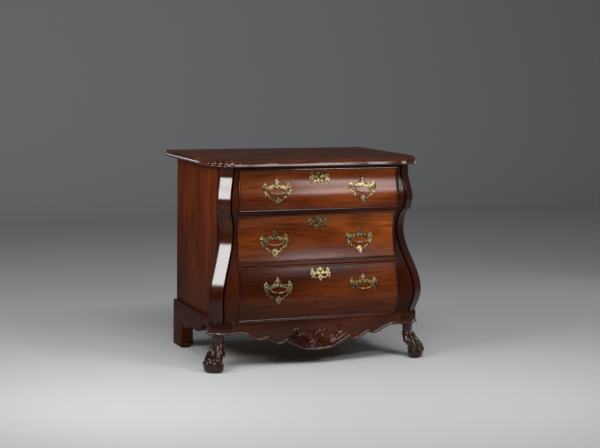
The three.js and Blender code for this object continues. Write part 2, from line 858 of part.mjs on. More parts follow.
// Bail: a thin swag between its two pins, with a knob at its middle. It hangs from y = z = 0.
const bailShares = [
  [-0.985, 0], [-0.87, 0], [-0.8, -0.16], [-0.52, -0.78], [-0.2, -0.98], [0, -1],
];

const bailSteps = 20;
const bailRoundSteps = 3;
const knobSides = 8;
const knobRows = 6;

function bail() {
  const half = bailShares.map(([x, z]) => new THREE.Vector3(x * postSpacingHalf, 0, z * bailDrop));
  const rest = half.slice(0, -1).reverse().map((p) => new THREE.Vector3(-p.x, 0, p.z));
  const route = new THREE.CatmullRomCurve3([...half, ...rest], false, 'centripetal');
  const section = new THREE.Shape();
  section.absarc(0, 0, bailRadius, 0, 2 * Math.PI, false);
  const settings = { steps: bailSteps, extrudePath: route, curveSegments: bailRoundSteps };
  const rod = new THREE.ExtrudeGeometry(section, settings);
  const knob = new THREE.SphereGeometry(bailKnobRadius, knobSides, knobRows);
  knob.translate(0, 0, -bailDrop);
  return join(rod, knob);
}

// Escutcheon: right half of its outline, and one pierced opening on each side of the keyhole.
const escutcheonShares = [
  [0, 0.45], [0.13, 0.42], [0.25, 0.32], [0.3, 0.17], [0.38, 0.06], [0.52, 0], [0.6, 0.12],
  [0.68, 0.25], [0.75, 0.39], [0.83, 0.25], [0.9, 0.1], [0.89, 0], [1, -0.12], [0.96, -0.24],
  [0.87, -0.38], [0.84, -0.67], [0.8, -0.44], [0.7, -0.3], [0.58, -0.5], [0.34, -0.48],
  [0.22, -0.54], [0.08, -0.72], [0, -0.83],
];
const escutcheonHoleShares = [[0.22, -0.24], [0.28, -0.37], [0.5, -0.38], [0.55, -0.22], [0.4, -0.17]];

function escutcheon(drawer) {
  const hole = scaled(escutcheonHoleShares, escutcheonHalfWidth);
  const holes = [hole, flipX(hole), keyholeOutline(fit)];
  const outline = bothSides(scaled(escutcheonShares, escutcheonHalfWidth));
  return bentPlate(outline, holes, escutcheonThickness, keyholeHeight(drawer));
}

// Assembly.
const chest = new THREE.Group();
const depthCentre = (topBack - frontReach) / 2;

function add(parent, name, geometry, material, place = [0, 0, 0]) {
  const mesh = new THREE.Mesh(geometry, material.clone());
  mesh.name = name;
  mesh.position.set(...place);
  parent.add(mesh);
  return mesh;
}

function addPair(parent, name, geometry, material) {
  add(parent, `${name}_right`, geometry, material);
  add(parent, `${name}_left`, mirrored(geometry), material);
}

const carcass = new THREE.Group();
carcass.position.y = -depthCentre;
chest.add(carcass);

add(carcass, 'top_board', topBoard(), topMahogany);
addPair(carcass, 'side_panel', sidePanel(), mahogany);
add(carcass, 'back_panel', backPanel(), oak);
addPair(carcass, 'corner_post', cornerPost(), mahogany);
add(carcass, 'top_rail', railOver(drawers[0], topRailThickness), darkMahogany);
add(carcass, 'upper_rail', railOver(drawers[1], railThickness), darkMahogany);
add(carcass, 'lower_rail', railOver(drawers[2], railThickness), darkMahogany);
add(carcass, 'bottom_board', bottomBoard(), oak);
add(carcass, 'apron', apron(), darkMahogany);
addPair(carcass, 'plinth_corner', cornerBlock(), darkMahogany);
addPair(carcass, 'plinth_side', plinthSide(), darkMahogany);
add(carcass, 'plinth_back', plinthBack(), oak);
addPair(carcass, 'claw_foot', clawFoot(), darkMahogany);
drawers.forEach((drawer) => addPair(carcass, `runner_${drawer.name}`, runner(drawer.floor), oak));

function addHandle(parent, drawer, side) {
  const height = plinthTop + caseHeight * drawer.handleShare;
  const garland = !(drawer.name === 'bottom' && side === 'right');
  const x = side === 'right' ? handleSpan : -handleSpan;
  add(parent, `handle_plate_${drawer.name}_${side}`, handlePlate(height, garland), brass, [x, 0, height]);
  add(parent, `bail_${drawer.name}_${side}`, bail(), brass, [x, pivotY(height), height]);
}

function addDrawer(drawer) {
  const group = new THREE.Group();
  const name = `drawer_${drawer.name}`;
  add(group, `${name}_front`, drawerFront(drawer), mahogany);
  addPair(group, `${name}_side`, drawerSide(drawer), oak);
  add(group, `${name}_back`, drawerBack(drawer), oak);
  add(group, `${name}_bottom`, drawerBottom(drawer), oak);
  add(group, `lock_case_${drawer.name}`, lockCase(drawer), lockBrass);
  const boltPlace = [0, boltY(drawer), drawerTopOf(drawer)];
  add(group, `lock_bolt_${drawer.name}`, lockBolt(), lockBrass, boltPlace);
  add(group, `escutcheon_${drawer.name}`, escutcheon(drawer), brass, [0, 0, keyholeHeight(drawer)]);
  ['left', 'right'].forEach((side) => addHandle(group, drawer, side));
  carcass.add(group);
}

drawers.forEach(addDrawer);

export default chest;
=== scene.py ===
import math

import bmesh
import bpy
from mathutils import Matrix, Vector


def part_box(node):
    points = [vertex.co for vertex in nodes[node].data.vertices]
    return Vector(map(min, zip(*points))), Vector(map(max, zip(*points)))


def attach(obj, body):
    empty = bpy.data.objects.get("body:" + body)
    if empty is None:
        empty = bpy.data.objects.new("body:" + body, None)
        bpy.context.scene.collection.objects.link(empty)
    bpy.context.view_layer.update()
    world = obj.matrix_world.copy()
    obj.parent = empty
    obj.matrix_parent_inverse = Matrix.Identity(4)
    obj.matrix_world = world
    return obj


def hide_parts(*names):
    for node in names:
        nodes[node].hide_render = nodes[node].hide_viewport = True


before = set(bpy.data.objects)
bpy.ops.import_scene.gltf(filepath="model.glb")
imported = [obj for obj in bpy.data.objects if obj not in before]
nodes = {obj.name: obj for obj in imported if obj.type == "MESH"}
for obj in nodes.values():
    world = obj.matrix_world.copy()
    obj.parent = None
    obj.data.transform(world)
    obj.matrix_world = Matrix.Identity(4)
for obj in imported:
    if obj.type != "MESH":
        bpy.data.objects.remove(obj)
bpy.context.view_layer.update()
scene = bpy.context.scene

# Corner posts. Each is one solid mahogany post sawn and planed to the bombe line, with a stile in
# front, a canted face and an ear that stands out past the side of the case. A bead is scratched
# down the edge of the opening and a wide groove down the stile beside the arris.
post_low, post_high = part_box("corner_post_right")
case_bottom = post_low.z
case_top = post_high.z
case_height = case_top - case_bottom
opening_half = post_low.x
post_back = post_high.y
waist_deep = 0.060
waist_y = post_back - waist_deep
stile_wide = 0.017
waist_half = opening_half + stile_wide
cant_wide = 0.042
cant_deep = 0.030
ear = 0.010
ear_clear = 0.002
side_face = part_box("side_panel_right")[1].x
front_swell = 0.057
side_swell = 0.060
swell_shares = [
    (0, 0.49, 0.8), (0.147, 1, 1), (0.568, 0, 0), (0.63, 0.05, 0.05), (0.668, 0.17, 0.14),
    (0.695, 0.34, 0.26), (0.722, 0.49, 0.33), (0.773, 0.61, 0.375), (0.94, 0.3, 0.12), (1, 0.38, 0.09),
]
shoulder_foot = 0.6205
shoulder_out = 0.0062
shoulder_step = 0.002
shoulder_fade = 0.014
edge_bead_rows = [
    (0, 0.0020), (0.0005, 0.0006), (0.0018, 0), (0.0030, 0.0006), (0.0034, 0.0020), (0.0036, 0.0028),
    (0.0043, 0.0028), (0.0046, 0.0006),
]
edge_bead_end = 0.0052
groove_start = 0.0100
groove_rows = [
    (0.0093, 0.0030), (0.0082, 0.0064), (0.0062, 0.0078), (0.0042, 0.0064), (0.0028, 0.0030),
    (0.0018, 0.0003), (0.0005, 0.0003),
]
flat_rim = 0.0023
cant_start = (0.0006, 0.0030)
cant_finish = (0.0050, 0.0022)
cant_turn = (0.0008, 0.0004)
ear_turn = [(0.0002, 0.0010), (0, 0.0030)]
ear_end = [(0, 0.0014), (0.0005, 0.0004), (0.0015, 0)]
ear_root = (0.0003, 0.0010)


def fair_curve(rows):
    """A fair line through (place, value) rows, level at each bulge and hollow."""
    rises = [(after[1] - before[1]) / (after[0] - before[0]) for before, after in zip(rows, rows[1:])]
    slopes = [rises[0]]
    for before, after in zip(rises, rises[1:]):
        slopes.append(0 if before * after <= 0 else 2 * before * after / (before + after))
    slopes.append(rises[-1])

    def value(place):
        step = next((n for n in range(len(rises)) if place <= rows[n + 1][0]), len(rises) - 1)
        (start, low), (end, high) = rows[step], rows[step + 1]
        t = min(max((place - start) / (end - start), 0), 1)
        bend = slopes[step] * t * (1 - t) ** 2 + slopes[step + 1] * t * t * (t - 1)
        return low * (1 + 2 * t) * (1 - t) ** 2 + high * t * t * (3 - 2 * t) + bend * (end - start)

    return value


front_share = fair_curve([(height, front) for height, front, side in swell_shares])
side_share = fair_curve([(height, side) for height, front, side in swell_shares])


def front_y(z):
    """Where the front lies at a height, on the axis that runs from front to back."""
    return waist_y - front_swell * front_share((z - case_bottom) / case_height)


def side_out(z):
    """How far the post swells out sideways at a height."""
    return side_swell * side_share((z - case_bottom) / case_height)


def shoulder(z):
    """How far the canted face stands out above the break at the upper rail."""
    over = max(z - shoulder_foot, 0) / shoulder_fade
    step = min(max((z - shoulder_foot + shoulder_step) / shoulder_step, 0), 1)
    return shoulder_out * step * math.exp(-over * over)


def post_plan(z):
    """The outline of a post at a height, from the back of the opening round to the side of the case."""
    front = front_y(z)
    arris = waist_half + side_out(z)
    outer = arris + cant_wide
    ear_front = front + cant_deep
    ear_back = min(ear_front + ear, post_back - ear_clear)
    width = math.hypot(cant_wide, cant_deep)
    along_x, along_y = cant_wide / width, cant_deep / width
    lip = shoulder(z)

    def on_cant(along, sunk):
        return (arris + along * along_x - sunk * along_y, front + along * along_y + sunk * along_x)

    flat_from, flat_to = opening_half + edge_bead_end, arris - groove_start
    rim = min(flat_rim, (flat_to - flat_from) / 4)
    plan = [(opening_half, post_back)]
    plan += [(opening_half + along, front + sunk) for along, sunk in edge_bead_rows]
    plan += [(x, front) for x in (flat_from, flat_from + rim, flat_to - rim, flat_to)]
    plan += [(arris - back, front + sunk) for back, sunk in groove_rows]
    plan += [on_cant(along, -lip) for along in (*cant_start, *[width - back for back in cant_finish])]
    plan.append(on_cant(width - cant_turn[0], cant_turn[1] - lip / 2))
    plan += [(outer - inwards, ear_front + back) for inwards, back in ear_turn]
    plan += [(outer - inwards, ear_back - forwards) for inwards, forwards in ear_end]
    plan += [
        (side_face + ear_root[0], ear_back),
        (side_face, min(ear_back + ear_root[1], post_back - ear_root[1])), (side_face, post_back),
    ]
    return [(x, y, z) for x, y in plan]


def skin(rings):
    """Points and faces of a skin over rings of equal count, closed at both ends."""
    count = len(rings[0])
    points = [tuple(point) for ring in rings for point in ring]
    faces = [tuple(range(count)), tuple(range(len(points) - count, len(points)))]
    for ring in range(len(rings) - 1):
        for i in range(count):
            here, after = ring * count + i, ring * count + (i + 1) % count
            faces.append((here, after, after + count, here + count))
    return points, faces


def strip_of(face, count):
    """Which strip of a skin a face lies in, counted round its rings. The two ends come before them."""
    return (face.index - 2) % count


def turned_over(shape):
    """The same shape for the other side of the chest."""
    points, faces = shape
    return [(-x, y, z) for x, y, z in points], faces


def on_both_sides(name, shape):
    """A shape for the right of the chest and its mirror image for the left, each with its name."""
    return (name + "_right", shape), (name + "_left", turned_over(shape))


def set_down(name, data):
    """A new object that stands in the scene."""
    thing = bpy.data.objects.new(name, data)
    scene.collection.objects.link(thing)
    return thing


def meshed(name, shape):
    """A mesh of some points and faces, with every face turned outwards."""
    mesh = bpy.data.meshes.new(name)
    mesh.from_pydata(shape[0], [], shape[1])
    work = bmesh.new()
    work.from_mesh(mesh)
    bmesh.ops.recalc_face_normals(work, faces=work.faces)
    work.to_mesh(mesh)
    work.free()
    return mesh


def shaded(mesh, crease=30):
    """Shades a mesh smooth but for the edges that turn by more than the crease, in degrees."""
    mesh.shade_smooth()
    mesh.set_sharp_from_angle(angle=math.radians(crease))


def made(name, shape, finish, body="carcass", crease=30):
    """One piece that stands for the CAD node of its name."""
    piece = set_down("made_" + name, meshed(name, shape))
    shaded(piece.data, crease)
    piece.data.materials.append(finish)
    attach(piece, body)
    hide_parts(name)
    return piece


def picked_out(piece, finishes, pick):
    """Gives a piece more finishes. Pick tells from a face which of them it takes, or 0 for the first."""
    for finish in finishes:
        piece.data.materials.append(finish)
    for face in piece.data.polygons:
        face.material_index = pick(face)


def new_finish(name):
    """A new material and its node tree."""
    finish = bpy.data.materials.new(name)
    finish.use_nodes = True
    return finish, finish.node_tree


def fed(node, sockets):
    """Sets each socket of a node to a value, or joins it to the output that feeds it."""
    for socket, source in sockets.items():
        if isinstance(source, bpy.types.NodeSocket):
            node.id_data.links.new(source, node.inputs[socket])
        else:
            node.inputs[socket].default_value = source
    return node


def toned(tree, source, stops):
    """Turns the greys of a texture into colours, from rows of a grey and its colour."""
    ramp = tree.nodes.new("ShaderNodeValToRGB")
    elements = ramp.color_ramp.elements
    for at, colour in stops[1:-1]:
        elements.new(at).color = (*colour, 1)
    for end in (0, -1):
        elements[end].position = stops[end][0]
        elements[end].color = (*stops[end][1], 1)
    return fed(ramp, {"Fac": source}).outputs["Color"]


def surfaced(tree, sockets, wear, rough, relief, strength, depth):
    """Sets the shader: one texture makes the surface duller and brighter, another gives it relief."""
    worn = fed(tree.nodes.new("ShaderNodeMapRange"), {"Value": wear, "To Min": rough[0], "To Max": rough[1]})
    bump = fed(tree.nodes.new("ShaderNodeBump"), {"Height": relief, "Strength": strength, "Distance": depth})
    feeds = {"Roughness": worn.outputs["Result"], "Normal": bump.outputs["Normal"]}
    fed(tree.nodes["Principled BSDF"], {**feeds, **sockets})


def polished(name, grain, tones, shine=0.24, streak=85, tilt=0.0, shift=(0, 0, 0), gloss=0.28, coat=0,
             painted_shade_run=None):
    """Mahogany under old polish. Grain is the axis that the boards run along, and tones go from the
    darkest streaks to the palest. The last argument is a painted shade along one axis: the axis, two places
    and two strengths."""
    wood, tree = new_finish(name)
    place = tree.nodes.new("ShaderNodeTexCoord").outputs["Object"]

    def texture(stretch, scale, detail, rough, bend):
        sizes = [1.0, 1.0, 1.0]
        sizes[grain] = stretch
        lay = {"Vector": place, "Location": shift, "Rotation": (0, tilt, 0), "Scale": sizes}
        laid = fed(tree.nodes.new("ShaderNodeMapping"), lay).outputs["Vector"]
        figure = {"Vector": laid, "Scale": scale, "Detail": detail, "Roughness": rough, "Distortion": bend}
        return fed(tree.nodes.new("ShaderNodeTexNoise"), figure).outputs["Fac"]

    def darkened(amount, colour, by):
        mix = tree.nodes.new("ShaderNodeMix")
        mix.data_type = "RGBA"
        mix.blend_type = "MULTIPLY"
        return fed(mix, {"Factor": amount, "A": colour, "B": by}).outputs["Result"]

    cloud = texture(0.35, 5.0, 3, 0.5, 0.8)
    streaks = texture(0.07, streak, 6, 0.62, 0.7)
    thin_streaks = texture(0.035, streak * 3.1, 3, 0.6, 0.3)
    pores = texture(0.02, 620, 2, 0.6, 0)
    dark, middle, pale = tones
    clear = (1.0, 1.0, 1.0)
    colour = toned(tree, cloud, [(0.34, dark), (0.50, middle), (0.66, pale)])
    for amount, lines, stops in (
        (0.80, streaks, [(0.33, (0.38, 0.28, 0.24)), (0.50, (0.84, 0.80, 0.77)), (0.66, clear)]),
        (0.55, thin_streaks, [(0.36, (0.50, 0.40, 0.36)), (0.54, clear)]),
        (0.45, pores, [(0.30, (0.45, 0.40, 0.38)), (0.48, clear)]),
    ):
        colour = darkened(amount, colour, toned(tree, lines, stops))
    # Painted shade: the colour darkens along one axis between two places, standing in for light that falls
    # off.
    if painted_shade_run:
        apart = fed(tree.nodes.new("ShaderNodeSeparateXYZ"), {"Vector": place})
        painted_shade_ramp = tree.nodes.new("ShaderNodeMapRange")
        painted_shade_ramp.interpolation_type = "SMOOTHSTEP"
        fed(painted_shade_ramp, dict(zip(("Value", "From Min", "From Max", "To Min", "To Max"),
                           (apart.outputs[painted_shade_run[0]], *painted_shade_run[1:]))))
        colour = darkened(1.0, colour, painted_shade_ramp.outputs["Result"])
    sockets = {"Base Color": colour, "Specular IOR Level": gloss, "Coat Weight": coat, "Coat Roughness": 0.10}
    surfaced(tree, sockets, cloud, (shine - 0.04, shine + 0.08), pores, 0.06, 0.0004)
    return wood


post_tones = ((0.018, 0.0032, 0.0010), (0.034, 0.0064, 0.0018), (0.058, 0.0116, 0.0029))
post_wood = polished("post mahogany", 2, post_tones, shine=0.11)
dull_wood = polished("unpolished post mahogany", 2, post_tones, shine=0.5, gloss=0.03)
stile_wood = polished("stile mahogany", 2, post_tones, shine=0.16, gloss=0.12)
# Painted shade: a near-black finish for grooves, quirks and gaps, where shade falls.
groove_shade_tones = ((0.004, 0.0014, 0.0008), (0.007, 0.0022, 0.0012), (0.011, 0.0034, 0.0018))
painted_groove_shade = polished("painted shade in the grooves", 0, groove_shade_tones, shine=0.6, gloss=0.02)
post_steps = 110
post_heights = [case_bottom + case_height * step / post_steps for step in range(post_steps + 1)]
post_heights += [shoulder_foot - shoulder_step * share for share in (1, 0.6, 0.25, 0)]
post_shape = skin([post_plan(z) for z in sorted(set(post_heights))])
plan_count = len(post_plan(case_top))
# Strips of the outline, counted from the back of the opening. The lips of the groove and the ear are
# dull, the groove, the quirk of the bead and the opening are painted near black as shade, and the stile is
# less bright.
strip_finish = dict.fromkeys((12, 17, *range(25, 32)), 1)
strip_finish |= dict.fromkeys((0, 5, 6, 7, *range(13, 17)), 2)
strip_finish |= dict.fromkeys((8, 9, 10, 11), 3)
for name, shape in on_both_sides("corner_post", post_shape):
    post = made(name, shape, post_wood)
    picked_out(post, (dull_wood, painted_groove_shade, stile_wood),
               lambda face: strip_finish.get(strip_of(face, plan_count), 0))

# Rails between the drawers. Thin mahogany rails that follow the swell of the front, tenoned into
# the posts, their front edges eased. Each has a small mortise underneath for the bolt of a lock.
rail_tones = ((0.036, 0.0066, 0.0020), (0.066, 0.0126, 0.0034), (0.104, 0.0210, 0.0054))
rail_wood = polished("rail mahogany", 0, rail_tones, shine=0.22, gloss=0.07)
rail_edge_rows = [
    (0, 0.0016), (0.03, 0.0006), (0.09, 0), (0.30, -0.0004), (0.42, -0.0004), (0.47, 0.0004),
    (0.53, 0.0004), (0.58, -0.0004), (0.70, -0.0004), (0.91, 0), (0.97, 0.0006), (1, 0.0016),
]
# The rounded top and bottom edges of each rail are painted near black as shade in the gaps beside the
# drawers.
rail_painted_shade_strips = {0, 1, 9, 10}
bolt_play = 0.0006
mortise_deep = 0.008
overrun = 0.004


def as_made(thing):
    """A new mesh of an object, with its modifiers or its curve worked out."""
    return bpy.data.meshes.new_from_object(thing.evaluated_get(bpy.context.evaluated_depsgraph_get()))


def cut_away(piece, cutter_shape):
    """Takes a cutter's shape out of a piece and leaves the edges of the cut crisp."""
    cutter = set_down("cutter", meshed("cutter", cutter_shape))
    cut = piece.modifiers.new("cut", "BOOLEAN")
    cut.operation = "DIFFERENCE"
    cut.solver = "EXACT"
    cut.object = cutter
    whole, cut_mesh = piece.data, as_made(piece)
    piece.modifiers.remove(cut)
    piece.data = cut_mesh
    shaded(cut_mesh)
    used = (whole, cutter.data)
    bpy.data.objects.remove(cutter)
    for mesh in used:
        bpy.data.meshes.remove(mesh)


def block(low, high):
    """A plain block between two of its corners."""
    (x0, y0, z0), (x1, y1, z1) = low, high
    return skin([[(x0, y0, z), (x1, y0, z), (x1, y1, z), (x0, y1, z)] for z in (z0, z1)])


for rail, drawer in (("top_rail", "top"), ("upper_rail", "middle"), ("lower_rail", "bottom")):
    low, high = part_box(rail)
    levels = [(low.z + (high.z - low.z) * share, set_in) for share, set_in in rail_edge_rows]
    section = [(front_y(z) + set_in, z) for z, set_in in levels] + [(high.y, high.z), (high.y, low.z)]
    rail_shape = skin([[(x, y, z) for y, z in section] for x in (low.x, high.x)])
    piece = made(rail, rail_shape, rail_wood)
    picked_out(piece, (painted_groove_shade,), lambda face: int(strip_of(face, len(section)) in rail_painted_shade_strips))
    bolt_low, bolt_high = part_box("lock_bolt_" + drawer)
    cut_away(piece, block((bolt_low.x - bolt_play, bolt_low.y - bolt_play, low.z - overrun),
                          (bolt_high.x + bolt_play, bolt_high.y + bolt_play, low.z + mortise_deep)))

# Sides of the case. Wide mahogany boards with upright grain, housed in the posts and the back.
# Their polish has gone dull, and their colour darkens towards the foot as painted shade.
side_tones = ((0.072, 0.0120, 0.0024), (0.120, 0.0225, 0.0038), (0.172, 0.0370, 0.0062))
# Painted shade: the side darkens to half its colour from 0.62 m down to 0.19 m.
side_painted_shade = ("Z", 0.19, 0.62, 0.50, 1.0)
side_wood = polished("side mahogany", 2, side_tones, shine=0.34, streak=60, gloss=0.03, painted_shade_run=side_painted_shade)


def dressed(name, finish, eased=0.0008):
    """Gives a CAD node its finish and takes the sharpness off its edges."""
    node = nodes[name]
    for place in node.material_slots:
        place.material = finish
    ease = node.modifiers.new("eased edges", "BEVEL")
    ease.width = eased
    ease.segments = 2
    ease.limit_method = "ANGLE"


for side in ("left", "right"):
    dressed("side_panel_" + side, side_wood)

# Back, bottom board and runners. Plain oak boards that are planed but never polished. The back is
# nailed to the case, the bottom lies in the plinth, and each runner has an upright guide.
oak_tones = ((0.200, 0.115, 0.052), (0.300, 0.185, 0.090), (0.400, 0.260, 0.135))


def plain_oak(name, grain):
    """Bare oak whose grain runs along an axis."""
    return polished(name, grain, oak_tones, shine=0.62, gloss=0.2)


oak_upright = plain_oak("upright oak", 2)
oak_long = plain_oak("long oak", 0)
oak_deep = plain_oak("deep oak", 1)
dressed("back_panel", oak_upright)
dressed("bottom_board", oak_long)
drawers = ("top", "middle", "bottom")
for drawer in drawers:
    for side in ("left", "right"):
        dressed("runner_" + drawer + "_" + side, oak_deep)

# Plinth corners. A canted mahogany block under each post, glued to the apron and the plinth side.
# The bead that runs along the apron goes on round the block, above the top of the leg.
plinth_proud = 0.003
plinth_thick = 0.024
plinth_inner = 0.390
bead_radius = 0.006
bead_height = 0.150
bead_rise = 0.0054
leg_top = bead_height - bead_radius
apron_front = front_y(case_bottom) - plinth_proud
corner_low, corner_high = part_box("plinth_corner_right")
glue_gap = 0.0003
apron_end = corner_low.x - glue_gap
corner_soft = 0.0022
slant_share = 0.7
turned_share = 0.4
plinth_tones = ((0.014, 0.0036, 0.0016), (0.027, 0.0066, 0.0026), (0.046, 0.0115, 0.0040))
plinth_wood = polished("plinth mahogany", 0, plinth_tones, shine=0.13)
block_rows = [
    (leg_top, 0.0016), (leg_top + 0.0008, 0.0030), (leg_top + 0.0024, 0.0043), (leg_top + 0.0045, 0.0050),
    (bead_height + 0.0010, 0.0050), (bead_height + 0.0030, 0.0042), (bead_height + 0.0046, 0.0026),
    (bead_height + bead_rise, 0.0006), (bead_height + 0.0058, -0.0004), (bead_height + 0.0070, -0.0004),
    (bead_height + 0.0076, 0), (case_bottom - 0.0022, 0), (case_bottom - 0.0008, -0.0006),
    (case_bottom, -0.0020),
]


def corner_plan(z, out):
    """The outline of the block at a height, standing out some way from its plain faces."""
    arris = waist_half + side_out(case_bottom) + plinth_proud
    outer = arris + cant_wide + out
    arris += out * turned_share
    front = apron_front - out
    cant_end = apron_front + cant_deep - out * turned_share
    back = apron_front + plinth_thick
    slant = corner_soft * slant_share
    plan = [
        (corner_low.x, front), (arris - corner_soft, front), (arris + slant, front + slant),
        (outer - slant, cant_end - slant), (outer, cant_end + corner_soft), (outer, corner_high.y),
        (plinth_inner, corner_high.y), (plinth_inner, back), (corner_low.x, back),
    ]
    return [(x, y, z) for x, y in plan]


corner_shape = skin([corner_plan(z, out) for z, out in block_rows])
bead_tones = ((0.030, 0.0060, 0.0022), (0.058, 0.0115, 0.0034), (0.098, 0.0205, 0.0052))
bead_wood = polished("rubbed bead mahogany", 0, bead_tones, shine=0.15, gloss=0.6)
for name, shape in on_both_sides("plinth_corner", corner_shape):
    corner_block = made(name, shape, plinth_wood)
    picked_out(corner_block, (bead_wood,), lambda face: int(face.center.z < bead_height + bead_rise))

# Apron. A mahogany board fretted to a lobed lower edge, with a bead carved along that edge and a
# flower with scrolling leaves carved at its middle. It is glued between the two plinth corners.
apron_tones = ((0.024, 0.0050, 0.0020), (0.048, 0.0098, 0.0032), (0.086, 0.0185, 0.0050))
apron_wood = polished("apron mahogany", 0, apron_tones, shine=0.14)
apron_lobes = [
    [(0, 0.065), (0.046, 0.069), (0.066, 0.074), (0.108, 0.093), (0.140, 0.112)],
    [(0.140, 0.112), (0.150, 0.103), (0.164, 0.099), (0.180, 0.102), (0.193, 0.109), (0.210, 0.119),
     (0.226, 0.128)],
    [(0.226, 0.128), (0.236, 0.122), (0.252, 0.120), (0.270, 0.125), (0.290, 0.136), (0.306, 0.144)],
    [(0.306, 0.144), (0.325, 0.149), (0.345, 0.150), (apron_end, bead_height)],
]
board_drop = 0.002
board_rows = [(plinth_thick, 0), (0.0026, 0), (0.0012, 0.0006), (0.0003, 0.0016), (0, 0.0030)]
bead_sunk = 0.001
quirk_sunk = 0.0006
quirk_up = 0.0088
quirk_reach = (0.0016, 0.0012)
forward = Vector((0, -1, 0))


def through(knots, steps, closed=False):
    """A smooth run of points through some knots."""
    knots = [Vector(knot) for knot in knots]
    count = len(knots)
    line = []
    for i in range(count if closed else count - 1):
        here, after = knots[i], knots[(i + 1) % count]
        before = knots[i - 1] if closed or i else here * 2 - after
        beyond = knots[(i + 2) % count] if closed or i + 2 < count else after * 2 - here
        for step in range(steps):
            t = step / steps
            line.append(0.5 * (2 * here + (after - before) * t
                        + (2 * before - 5 * here + 4 * after - beyond) * t ** 2
                        + (3 * here - before - 3 * after + beyond) * t ** 3))
    return line if closed else [*line, knots[-1]]


def way_along(path, i):
    """Which way a path runs at one of its points."""
    return (path[min(i + 1, len(path) - 1)] - path[max(i - 1, 0)]).normalized()


def circle(count):
    """The points of a circle with a radius of one."""
    return [(math.cos(math.tau * n / count), math.sin(math.tau * n / count)) for n in range(count)]


def sweep(path, reach, outline, up=forward):
    """A rod along a path. Reach gives its half width and half height at a share of the way."""
    rings = []
    for i, place in enumerate(path):
        along = way_along(path, i)
        across = along.cross(up).normalized()
        lift = across.cross(along)
        wide, high = reach(i / (len(path) - 1))
        rings.append([place + across * (a * wide) + lift * (b * high) for a, b in outline])
    return skin(rings)


def both_halves(half):
    """The whole line from its right half, which starts on the middle line."""
    return [*[(-x, z) for x, z in reversed(half[1:])], *half]


def together(*shapes):
    """Several shapes as one."""
    points, faces = [], []
    for some_points, some_faces in shapes:
        first = len(points)
        points += [tuple(point) for point in some_points]
        faces += [tuple(i + first for i in face) for face in some_faces]
    return points, faces


half_edge = [tuple(p) for lobe in apron_lobes for p in through(lobe, 6)[:-1]]
apron_edge = both_halves([*half_edge, (apron_end, bead_height)])
board_line = [(x, z - board_drop) for x, z in apron_edge]
board_line += [(apron_end, case_bottom), (-apron_end, case_bottom)]
board_shape = skin([
    [(x, apron_front + deep, z - (down if z == case_bottom else 0)) for x, z in board_line]
    for deep, down in board_rows
])
bead_path = [Vector((x, apron_front + bead_sunk, z)) for x, z in apron_edge]
bead_shape = sweep(bead_path, lambda share: (bead_radius, bead_radius), circle(12))
quirk_path = [Vector((x, apron_front + quirk_sunk, z + quirk_up)) for x, z in apron_edge]
quirk_shape = sweep(quirk_path, lambda share: quirk_reach, circle(6))
leaf_root = 0.002
leaf_sunk = 0.0005
leaf_start_share = 0.12
leaf_run_share = 0.86
leaf_tip_share = 0.02
frill_share = 0.14
frills = 20
across_shares = (-1, -0.72, -0.36, 0, 0.36, 0.72, 1)
petal_shares = (0.2, 0.6, 1)
petal_vein = 0.45


def leaf(path, width, height, vein=0.35):
    """A carved leaf: swelling, then drawn out to a point, with a vein sunk along its middle."""
    line = through([(x, apron_front + leaf_sunk, z) for x, z in path], 5)
    rows = []
    for i, place in enumerate(line):
        share = i / (len(line) - 1)
        across = way_along(line, i).cross(forward).normalized()
        turn = math.pi * min(share * leaf_run_share + leaf_start_share, 1)
        swell = max(math.sin(turn) ** 0.8, leaf_tip_share)
        row = []
        for a in across_shares:
            rise = (1 - a * a) ** 0.5 - (vein if a == 0 else 0)
            frill = 1 + frill_share * math.sin(share * frills) * abs(a)
            row.append(place + across * (a * width * swell * frill) + forward * (height * swell * rise))
        rows.append([*row, place - forward * leaf_root])
    return skin(rows)


def petal(middle, degrees, length, width, height):
    """A broad leaf that stands out from the middle of the flower."""
    x, z = middle
    turn = math.radians(degrees)
    c, s = math.cos(turn), math.sin(turn)
    path = [(x + share * length * c, z + share * length * s) for share in petal_shares]
    return leaf(path, width, height, petal_vein)


def turned(rows, x, z, face, count):
    """A turned shape on a face, from rows of its radius and how far out it stands."""
    return skin([[(x + r * c, face - out, z + r * s) for c, s in circle(count)] for r, out in rows])


